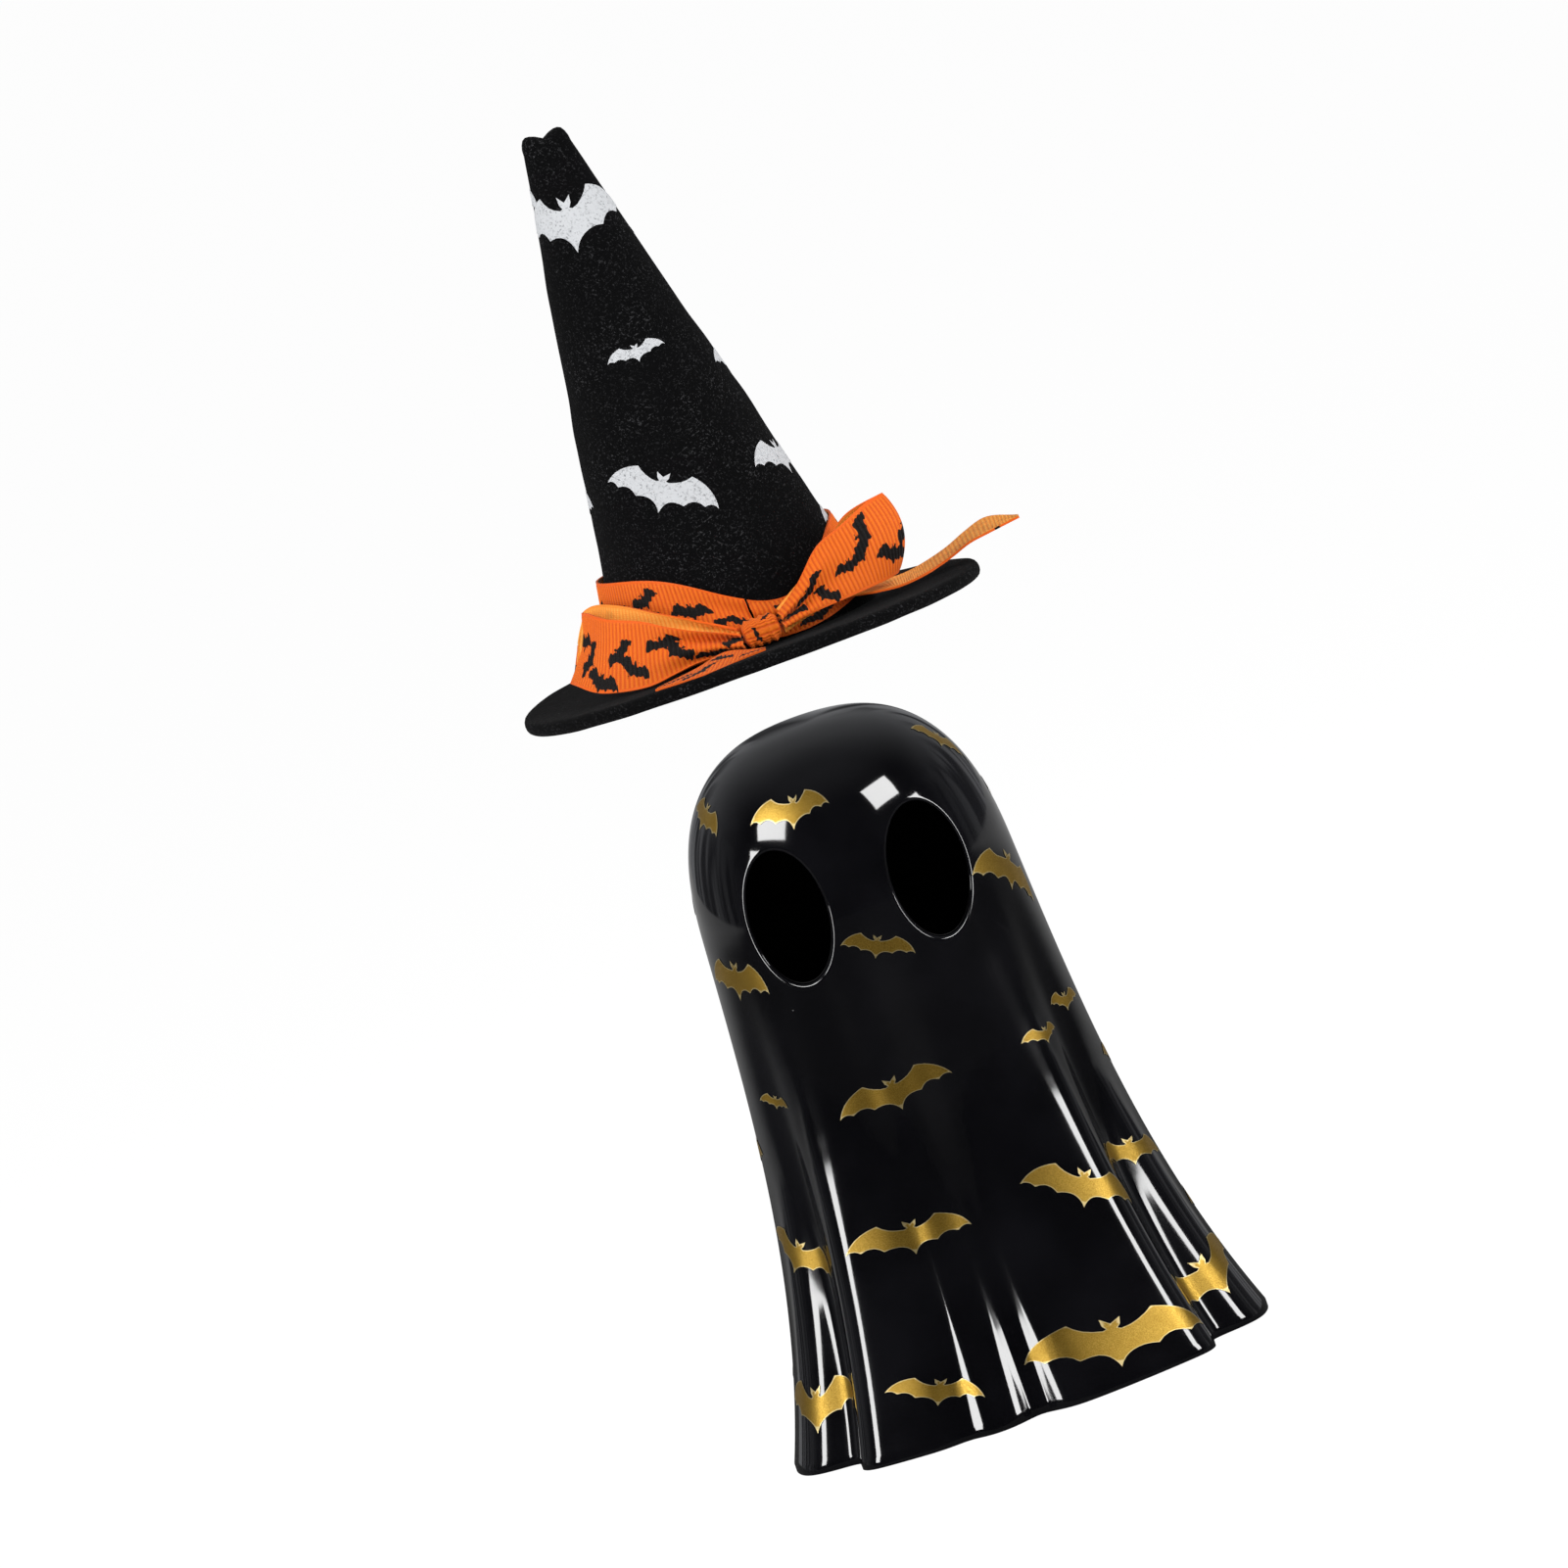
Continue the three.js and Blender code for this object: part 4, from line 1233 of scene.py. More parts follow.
GOLD_BATS = [
    Bat(-14.2, 136.7, 7.6, 11.0, 10.4, 7.8, -7.0, 13.0),
    Bat(-67.0, 140.2, 6.2, 24.0, 8.0, 8.0, -6.0, -8.0),
    Bat(71.5, 139.0, 5.6, 52.0, 7.4, 7.4),
    Bat(-0.4, 104.6, 5.0, 24.0, 7.6, 8.4, 1.0, -1.0),
    Bat(65.8, 108.2, 9.0, 30.0, 14.0, 11.0, -14.0, -18.0),
    Bat(-60.5, 105.5, 9.0, 14.0, 12.0, 10.5, -8.0, -2.0),
    Bat(47.4, 73.8, 3.8, 9.0, 7.3, 5.4, -2.0, 16.0),
    Bat(68.0, 77.8, 4.2, 9.0, 5.4, 7.0, 4.0, 10.0),
    Bat(-10.7, 73.9, 7.4, -6.0, 13.7, 12.9, 1.0, -1.0),
    Bat(-61.5, 78.3, 3.2, 15.0, 5.2, 5.2),
    Bat(66.8, 43.1, 6.4, 8.0, 11.0, 13.0, 0.0, -6.0),
    Bat(36.4, 41.3, 8.6, 28.0, 14.6, 13.3, 0.0, -2.0),
    Bat(-20.5, 43.9, 7.5, 5.0, 15.1, 13.2, -1.0, 2.0),
    Bat(-70.0, 45.2, 7.6, 30.0, 11.9, 11.0, 1.0, 2.0),
    Bat(68.5, 12.3, 10.4, -12.0, 15.0, 17.0, -4.0, 8.0),
    Bat(24.6, 9.4, 11.0, 11.0, 20.6, 22.0, -3.0, 3.0),
    Bat(-24.5, 11.6, 5.6, 19.0, 12.0, 10.4, 0.0, 1.0),
    Bat(-70.0, 13.2, 10.2, 0.0, 14.0, 12.0, 12.0, 10.0),
]
GOLD_BATS += [plain_bat(*values) for values in (
    (102.0, 126.0, 9.5, -14.0), (148.0, 134.0, 11.0, 20.0), (-152.0, 139.0, 8.0, -8.0),
    (-108.0, 122.0, 12.0, 10.0), (176.0, 110.0, 13.5, -6.0), (122.0, 95.0, 7.0, 18.0),
    (-136.0, 96.0, 8.5, -20.0), (92.0, 62.0, 9.0, 12.0), (158.0, 78.0, 15.0, 8.0),
    (-166.0, 66.0, 7.0, -12.0), (-98.0, 66.0, 13.0, -9.0), (130.0, 46.0, 12.0, -16.0),
    (178.0, 38.0, 17.0, 7.0), (-132.0, 36.0, 14.0, 14.0), (100.0, 26.0, 13.0, 6.0),
    (152.0, 13.0, 15.0, -5.0), (-160.0, 12.0, 12.0, 12.0), (-104.0, 18.0, 11.0, -10.0),
)]


@dataclass(frozen=True)
class GhostShell:
    """The hollow ceramic ghost, with its eyes, its foot and its gold bats."""

    height: float = corners_in_mm("ghost_shell")[1].z
    head_height: float = 40.0
    squareness: float = 2.65
    shoulder_radius: float = 34.75
    taper: float = 6.5
    flare: float = 12.7
    wall: float = 3.6
    hem_rounding: float = 1.6
    foot_width: float = 4.4
    foot_height: float = 4.8
    floor_thickness: float = 4.5
    hole_radius: float = 20.5
    floor_fillet: float = 3.0
    foot_draft: float = 1.0
    eye_lip: float = 0.85
    lip_keeps: tuple[float, ...] = (0.62, 0.62, 0.6, 0.55, 0.5, 0.0)
    lip_turns: tuple[float, ...] = (12.0, 25.0, 38.0, 52.0, 66.0, 78.0, 90.0)
    patch_heights: Pair = (97.0, 135.6)
    patch_angles: Pair = (6.0, 51.0)
    inner_patch_angles: Pair = (6.0, 60.0)
    steps: int = 240
    gown_rows: int = 100
    head_rows: int = 46
    hollow_rows: int = 60
    hem_steps: int = 4
    folds: tuple[Fold | Panel, ...] = GOWN_FOLDS
    eyes: tuple[EyeHole, EyeHole] = (EyeHole(-1), EyeHole(1))

    @property
    def shoulder(self) -> float:
        """Height where the gown ends and the round head begins."""
        return self.height - self.head_height

    def round_radius(self, height: float) -> float:
        """Gives the radius at a height without the folds.

        Args:
            height: Height over the foot.

        Returns:
            The radius, 0 at the top.
        """
        down = (self.shoulder - height) / self.shoulder
        if height <= self.shoulder:
            return self.shoulder_radius + self.taper * down + self.flare * down ** 3
        up = min((height - self.shoulder) / self.head_height, 1.0)
        dome = (1.0 - up ** self.squareness) ** (1.0 / self.squareness)
        return (self.shoulder_radius + self.taper * down) * dome

    def inner_radius(self, height: float) -> float:
        """Gives the radius of the hollow at a height without the folds."""
        if height <= self.shoulder:
            return self.round_radius(height) - self.wall
        outside = self.shoulder + (height - self.shoulder) / (1.0 - self.wall / self.head_height)
        return self.round_radius(min(outside, self.height)) * (1.0 - self.wall / self.shoulder_radius)

    def fold_depth(self, angle: float, height: float) -> float:
        """Gives how far the folds draw the wall in at an angle and a height."""
        down = max((self.shoulder - height) / self.shoulder, 0.0)
        return sum(fold.drawn_in(angle, down) for fold in self.folds)

    def point(self, angle: float, height: float) -> Vector:
        """Gives the point of the outside at an angle and a height."""
        radius = self.round_radius(height) - self.fold_depth(angle, height)
        return facing(angle) * radius + Vector((0.0, 0.0, height))

    def above(self, angle: float, height: float, distance: float) -> Vector:
        """Gives the point at a distance over the outside.

        Args:
            angle: Angle round the shell.
            height: Height over the foot.
            distance: Distance from the surface.

        Returns:
            The point.
        """
        step = 0.05
        height = min(height, self.height - 2.0 * step)
        across = self.point(angle + step, height) - self.point(angle - step, height)
        up = self.point(angle, height + step) - self.point(angle, height - step)
        return self.point(angle, height) + across.cross(up).normalized() * distance

    def front_depth(self, x: float, z: float) -> float:
        """Gives how far in front of the axis the outside lies at a place seen from the front.

        Args:
            x: The place to the right.
            z: Its height.

        Returns:
            The depth, above 0 in front.
        """
        angle, steepest = 0.0, 0.999
        for _ in range(8):
            radius = self.round_radius(z) - self.fold_depth(angle, z)
            angle = math.degrees(math.asin(max(min(x / radius, steepest), -steepest)))
        return math.sqrt(radius * radius - x * x)

    def head_rises(self, rows: int) -> list[float]:
        """Gives heights from the shoulder to the top, closer together towards the top."""
        return [self.shoulder + self.head_height * math.sin(turn) for turn in turns(90.0, rows)]

    def profile(self) -> Points2D:
        """Draws half a section: down the outside, round the foot and up the hollow.

        Returns:
            Radius and height of each point.
        """
        head = self.head_rises(self.head_rows)[:-1]
        gown = spaced(self.hem_rounding, self.shoulder - self.hem_rounding, self.gown_rows)
        foot_radius = self.round_radius(0.0)
        hem = [(foot_radius - self.hem_rounding * math.sin(turn),
                self.hem_rounding * (1.0 - math.cos(turn))) for turn in turns(90.0, self.hem_steps)]
        outside = [(0.0, self.height)]
        outside += [(self.round_radius(height), height) for height in reversed(gown + head)]
        floor_top = self.foot_height + self.floor_thickness
        inner_foot = foot_radius - self.hem_rounding - self.foot_width
        base = [(inner_foot, 0.0), (inner_foot - self.foot_draft, self.foot_height),
                (self.hole_radius, self.foot_height), (self.hole_radius, floor_top),
                (self.inner_radius(floor_top) - self.floor_fillet, floor_top)]
        hollow_top = self.height - self.wall
        rise = hollow_top - floor_top - self.floor_fillet
        hollow = spaced(floor_top + self.floor_fillet, rise, self.hollow_rows)
        inside = [(self.inner_radius(height), height) for height in hollow]
        return outside + hem[1:] + base + inside + [(0.0, hollow_top)]

    def fold_rule(self, point: Vector) -> Vector:
        """Draws a point of the turned shell in where the folds are, but leaves the floor's hole round.

        Args:
            point: The point of the turned shell.

        Returns:
            The point of the folded one.
        """
        radius = math.hypot(point.x, point.y)
        if radius < 1e-6:
            return point
        inner = self.round_radius(point.z) - self.wall - self.foot_width
        share = min(max((radius - self.hole_radius) / (inner - self.hole_radius), 0.0), 1.0)
        scale = 1.0 - share * self.fold_depth(angle_of(point), point.z) / radius
        return Vector((point.x * scale, point.y * scale, point.z))

    def is_outside(self, point: Vector) -> bool:
        """Says whether a point lies in the outer half of the wall."""
        reach = self.round_radius(point.z) - self.fold_depth(angle_of(point), point.z)
        return math.hypot(point.x, point.y) > reach - self.wall / 2.0

    def near_an_eye(self, middle: Vector, normal: Vector) -> bool:
        """Says whether a face of the wall is cleared away for an eye."""
        near, far = self.patch_angles if self.is_outside(middle) else self.inner_patch_angles
        low, high = self.patch_heights
        return near < abs(angle_of(middle)) < far and low < middle.z < high

    def lip_rule(self, keep: float | None, turn: float) -> Callable[[Vector], Vector]:
        """Makes the rule that brings a ring of points closer to an eye's edge or round its lip.

        Args:
            keep: Share of the distance to the lip that is kept, or nothing on the lip itself.
            turn: Angle round the lip, 0 where it leaves the outside and 90 in the hole.

        Returns:
            The rule.
        """
        def rule(point: Vector) -> Vector:
            """Moves one point."""
            eye = self.eyes[0] if point.x < 0.0 else self.eyes[1]
            edge_x, edge_z, way_x, way_z = eye.towards(point.x, point.z)
            reach = (point.x - edge_x) * way_x + (point.z - edge_z) * way_z
            if keep is None:
                reach = self.eye_lip * (1.0 - math.sin(math.radians(turn)))
            else:
                reach = self.eye_lip + (reach - self.eye_lip) * keep
            x, z = edge_x + way_x * reach, edge_z + way_z * reach
            drop = self.eye_lip * (1.0 - math.cos(math.radians(turn)))
            return Vector((x, drop - self.front_depth(x, z), z))
        return rule

    def wall_rule(self, share: float) -> Callable[[Vector], Vector]:
        """Makes the rule that moves points of an eye's edge a share of the way to the hollow."""
        def rule(point: Vector) -> Vector:
            """Moves one point."""
            depth = math.sqrt(max(self.inner_radius(point.z) ** 2 - point.x ** 2, 0.0))
            return Vector((point.x, mix(point.y, -depth, share), point.z))
        return rule

    def open_eyes(self, piece: Object) -> None:
        """Cuts the eyes into the closed shell and rounds their edges.

        Args:
            piece: The shell.
        """
        rules = [self.lip_rule(keep, 0.0) for keep in self.lip_keeps]
        rules += [self.lip_rule(None, turn) for turn in self.lip_turns]
        rules += [self.wall_rule(share) for share in (0.5, 1.0)]
        with editing(piece):
            mark_faces(piece, self.near_an_eye)
            bpy.ops.mesh.delete(type="FACE")
            mark_open_edges(piece, self.is_outside)
            for rule in rules:
                bpy.ops.mesh.extrude_edges_move()
                move_marked(piece, rule)
            for side in (-1, 1):
                mark_open_edges(piece, lambda middle, side=side: middle.x * side > 0.0)
                bpy.ops.mesh.bridge_edge_loops()
            face_outwards()

    def build(self) -> Object:
        """Makes the shell.

        Returns:
            The shell with its glaze, its hollow painted dark as shade and its bare foot ring.
        """
        piece = lathe("glazed_shell", self.profile(), self.steps)
        reshape(piece, self.fold_rule)
        self.open_eyes(piece)
        finishes = (GLAZE, HOLLOW_PAINTED_SHADE, FOOT_RING)
        dress(piece, *finishes)
        hollow, foot_ring = finishes.index(HOLLOW_PAINTED_SHADE), finishes.index(FOOT_RING)
        foot_ring_top, looks_down = self.hem_rounding * 0.3, -0.8
        for face in piece.data.polygons:
            middle = face.center / MM
            if middle.z < foot_ring_top and face.normal.z < looks_down:
                face.material_index = foot_ring
            # Faces of the hollow get the clay painted near black as shade.
            elif not self.is_outside(middle):
                face.material_index = hollow
        smooth(piece, sharp_angle=40.0)
        return piece

    def lay_bats(self) -> Object:
        """Prints the gold bats round the shell.

        Returns:
            The joined bats.
        """
        fold_share, least_radius = 0.8, 4.0
        gown = spaced(0.0, self.shoulder, 200)
        meridian = Meridian(self.round_radius, gown + self.head_rises(300))

        def place(bat: Bat, across: float, up: float, distance: float) -> Vector:
            """Gives a point over the form."""
            height = meridian.climb(bat.height, up)
            level = (height + bat.height) / 2.0
            radius = self.round_radius(level) - self.fold_depth(bat.angle, level) * fold_share
            radius = max(radius, least_radius)
            return self.above(bat.angle + math.degrees(across / radius), height, distance)

        piece = BatStencil().lay_row("gold_bats", GOLD_BATS, Sheet.GLAZE, place)
        dress(piece, GOLD)
        return piece

    def assemble(self) -> None:
        """Builds the shell and its bats and puts them on their body."""
        hand_over(self.build(), "ghost", ["ghost_shell"])
        hand_over(self.lay_bats(), "ghost")


# Hat

@dataclass(frozen=True)
class Lumps:
    """Soft noise in the felt: lumps to a millimetre, their height and where the noise is read."""

    per_mm: float
    height: float
    start: Triple = (0.0, 0.0, 0.0)

    def at(self, place: Vector) -> float:
        """Gives the rise at a place."""
        return self.height * noise.noise(place * self.per_mm + Vector(self.start))


# The white bats, with heights over the foot of the cone, those seen in front first

WHITE_BATS = [
    Bat(-11.5, 96.2, 12.5, 4.0, 13.0, 15.7, 0.0, 7.0),
    Bat(3.7, 66.4, 3.9, 4.0, 6.6, 6.7, -4.0, 6.0),
    Bat(100.0, 57.0, 6.0, 12.0, 9.5, 9.0),
    Bat(72.0, 34.8, 8.5, 6.0, 10.4, 10.0, 2.0, -6.0),
    Bat(-14.8, 37.2, 8.8, 27.0, 12.9, 12.5, 2.0, -4.0),
    Bat(95.0, 18.5, 6.4, 4.0, 9.5, 9.5),
    Bat(-102.0, 37.0, 7.0, -8.0, 10.5, 10.5),
    Bat(-124.0, 103.5, 6.0, 10.0, 8.5, 8.5),
    Bat(150.0, 92.0, 6.4, -14.0, 9.5, 9.0),
    Bat(-150.0, 70.0, 7.6, 12.0, 12.0, 11.0),
    Bat(162.0, 48.0, 8.6, -6.0, 13.0, 12.5),
    Bat(-140.0, 24.0, 6.2, 8.0, 9.0, 10.0),
]


@dataclass(frozen=True)
class FeltHat:
    """The pointed felt hat: a flat brim, a cone with a pinched tip and its white bats."""

    low: Vector = corners_in_mm("hat_brim")[0]
    high: Vector = corners_in_mm("hat_brim")[1]
    tip_height: float = corners_in_mm("hat_cone")[1].z
    hole_radius: float = 27.0
    base_radius: float = 29.0
    tip_radius: float = 4.2
    felt: float = 2.0
    seat: float = 0.3
    lean: float = 0.052
    pinch: float = 0.62
    notch: float = 2.6
    pinch_length: float = 22.0
    crown: float = 5.0
    crown_steps: int = 7
    crown_roundness: Pair = (0.8, 0.9)
    dents: tuple[Lumps, ...] = (Lumps(0.034, 0.85, (3.1, 7.7, 1.9)), Lumps(0.11, 0.28, (9.4, 2.2, 5.3)))
    dent_fade: float = 9.0
    seam_angle: float = 172.0
    seam_height: float = 0.75
    seam_step: Pair = (-1.4, -0.6)
    seam_fade: Pair = (1.5, 8.0)
    brim_waves: tuple[Triple, ...] = ((0.55, 2.0, 0.7), (0.3, 3.0, 2.1))
    brim_lift: float = 0.3
    brim_still: float = 3.0
    brim_lumps: Lumps = Lumps(0.12, 0.12)
    brim_steps: int = 8
    brim_roundness: float = 0.75
    steps: int = 144
    cone_rows: int = 74
    inner_rows: int = 30
    brim_rows: int = 16

    @property
    def origin(self) -> Vector:
        """Middle of the brim's underside."""
        middle = (self.low + self.high) / 2.0
        return Vector((middle.x, middle.y, self.low.z))

    @property
    def brim_thickness(self) -> float:
        """Thickness of the brim."""
        return self.high.z - self.low.z

    @property
    def brim_radius(self) -> float:
        """Radius of the brim."""
        return (self.high.x - self.low.x) / 2.0

    @property
    def foot(self) -> float:
        """Height of the foot of the cone over the brim's underside."""
        return self.brim_thickness + self.seat

    @property
    def cone_height(self) -> float:
        """Height of the cone from its foot to its tip."""
        return self.tip_height - self.low.z - self.foot

    def cone_radius(self, up: float) -> float:
        """Gives the cone's radius at a height over its foot."""
        return self.base_radius - (self.base_radius - self.tip_radius) * up / self.cone_height

    def dent(self, place: Vector) -> float:
        """Gives how far the felt stands out or in, soft and uneven."""
        return sum(lumps.at(place) for lumps in self.dents)

    def seam(self, angle: float, radius: float) -> float:
        """Gives the rise of the lapped seam down the back of the cone."""
        beside = wrapped(angle - self.seam_angle) * math.pi / 180.0 * radius
        rise = self.seam_height * smoothstep(*self.seam_step, beside)
        return rise * (1.0 - smoothstep(*self.seam_fade, beside))

    def cone_point(self, angle: float, up: float, radius: float) -> Vector:
        """Bends a point of a plain cone into the hat's shape.

        Args:
            angle: Angle of the point.
            up: Its height over the foot of the cone.
            radius: Its radius on the plain cone.

        Returns:
            The point in the frame.
        """
        point = facing(angle) * radius
        share = smoothstep(0.0, self.dent_fade, radius)
        dent = self.dent(Vector((point.x, point.y, up)))
        stand = (dent + self.seam(angle, self.cone_radius(up))) * share
        point = facing(angle) * (radius + stand)
        near = smoothstep(self.cone_height - self.pinch_length, self.cone_height, up)
        point.y *= mix(1.0, self.pinch, near)
        middle = 1.0 - min(abs(point.x) / self.tip_radius, 1.0)
        drop = self.notch * middle * near ** 6
        return self.origin + Vector((point.x - self.lean * up, point.y, self.foot + up - drop))

    def cone(self) -> Object:
        """Makes the cone, open below, with its seam and its soft dents.

        Returns:
            The cone.
        """
        straight = self.cone_height - self.crown
        widening, falling = self.crown_roundness
        outside = [(0.0, self.cone_height)]
        outside += [(self.cone_radius(straight) * math.sin(turn) ** widening,
                     straight + self.crown * math.cos(turn) ** falling)
                    for turn in turns(90.0, self.crown_steps)[1:]]
        outside += [(self.cone_radius(up), up) for up in
                    (straight * (1.0 - row / self.cone_rows) for row in range(1, self.cone_rows + 1))]
        cut_edge = (self.base_radius - self.felt * 0.5, -0.25)
        hollow_top = self.cone_height - 4.0 * self.felt
        inside = [(self.cone_radius(up) - self.felt, up)
                  for up in spaced(0.0, hollow_top, self.inner_rows)[:-1]]
        piece = lathe("felt_cone", outside + [cut_edge] + inside + [(0.0, hollow_top)], self.steps)
        reshape(piece, lambda point: self.cone_point(angle_of(point), point.z,
                                                     math.hypot(point.x, point.y)))
        dress(piece, FELT)
        smooth(piece, sharp_angle=50.0)
        return piece

    def brim_rule(self, point: Vector) -> Vector:
        """Gives the flat brim its slight wave, more towards its edge.

        Args:
            point: A point of the flat brim.

        Returns:
            The point in the frame.
        """
        radius = math.hypot(point.x, point.y)
        share = smoothstep(self.hole_radius + self.brim_still, self.brim_radius, radius)
        turn = math.radians(angle_of(point))
        wave = sum(height * math.sin(count * turn + start) for height, count, start in self.brim_waves)
        lump = self.brim_lumps.at(point)
        return self.origin + point + Vector((0.0, 0.0, share * (wave + self.brim_lift) + lump * share))

    def brim(self) -> Object:
        """Makes the brim, a flat ring of thick felt with soft edges.

        Returns:
            The brim.
        """
        half = self.brim_thickness / 2.0
        width = self.brim_radius - half - self.hole_radius
        radii = spaced(self.hole_radius, width, self.brim_rows)
        top = [(radius, self.brim_thickness) for radius in radii]
        edge = [(self.brim_radius - half + half * math.sin(turn) ** self.brim_roundness,
                 half + half * math.cos(turn)) for turn in turns(180.0, self.brim_steps)]
        bottom = [(radius, 0.0) for radius in reversed(radii)]
        piece = lathe("felt_brim", top + edge + bottom + top[:1], self.steps)
        reshape(piece, self.brim_rule)
        dress(piece, FELT)
        smooth(piece, sharp_angle=60.0)
        return piece

    def lay_bats(self) -> Object:
        """Prints the white bats round the cone.

        Returns:
            The joined bats.
        """
        slant = math.hypot(1.0, (self.base_radius - self.tip_radius) / self.cone_height)

        def place(bat: Bat, across: float, up: float, distance: float) -> Vector:
            """Gives a point over the form."""
            height = bat.height + up / slant
            middle_radius = self.cone_radius((height + bat.height) / 2.0)
            angle = bat.angle + math.degrees(across / middle_radius)
            return self.cone_point(angle, height, self.cone_radius(height) + distance)

        piece = BatStencil().lay_row("white_bats", WHITE_BATS, Sheet.FELT, place)
        dress(piece, WHITE_PRINT)
        return piece

    def assemble(self) -> None:
        """Builds the felt pieces and their bats and puts them on their body."""
        hand_over(self.brim(), "hat", ["hat_brim"], mirrored=False)
        hand_over(self.cone(), "hat", ["hat_cone"], mirrored=False)
        hand_over(self.lay_bats(), "hat", mirrored=False)


# Ribbon

@dataclass(frozen=True)
class Stop:
    """A place on a ribbon's lower edge: its angle, how far out from the cone's foot it is and how high.

    The height counts from where the ribbon rests on the brim. The ribbon leans from upright towards
    its inward angle, and shows this share of its width.
    """

    angle: float
    out: float
    up: float
    lean: float
    share: float
    inward: float | None = None


@dataclass(frozen=True)
class PrintMark:
    """A bat in the ribbon's print, by its place along and across the ribbon."""

    along: float
    across: float
    size: float
    turn: float


@dataclass(frozen=True)
class Weaving:
    """How one stretch of ribbon is woven.

    The seed is the place in the print where it begins. Its printed face can be the far one, seen with
    the ribbon going right. It folds up by its gather where it shows less than its width, and by its
    cup its middle stands out halfway along, where a loop turns back.
    """

    name: str
    seed: float
    face_back: bool
    gather: float = 0.0
    cup: float = 0.0


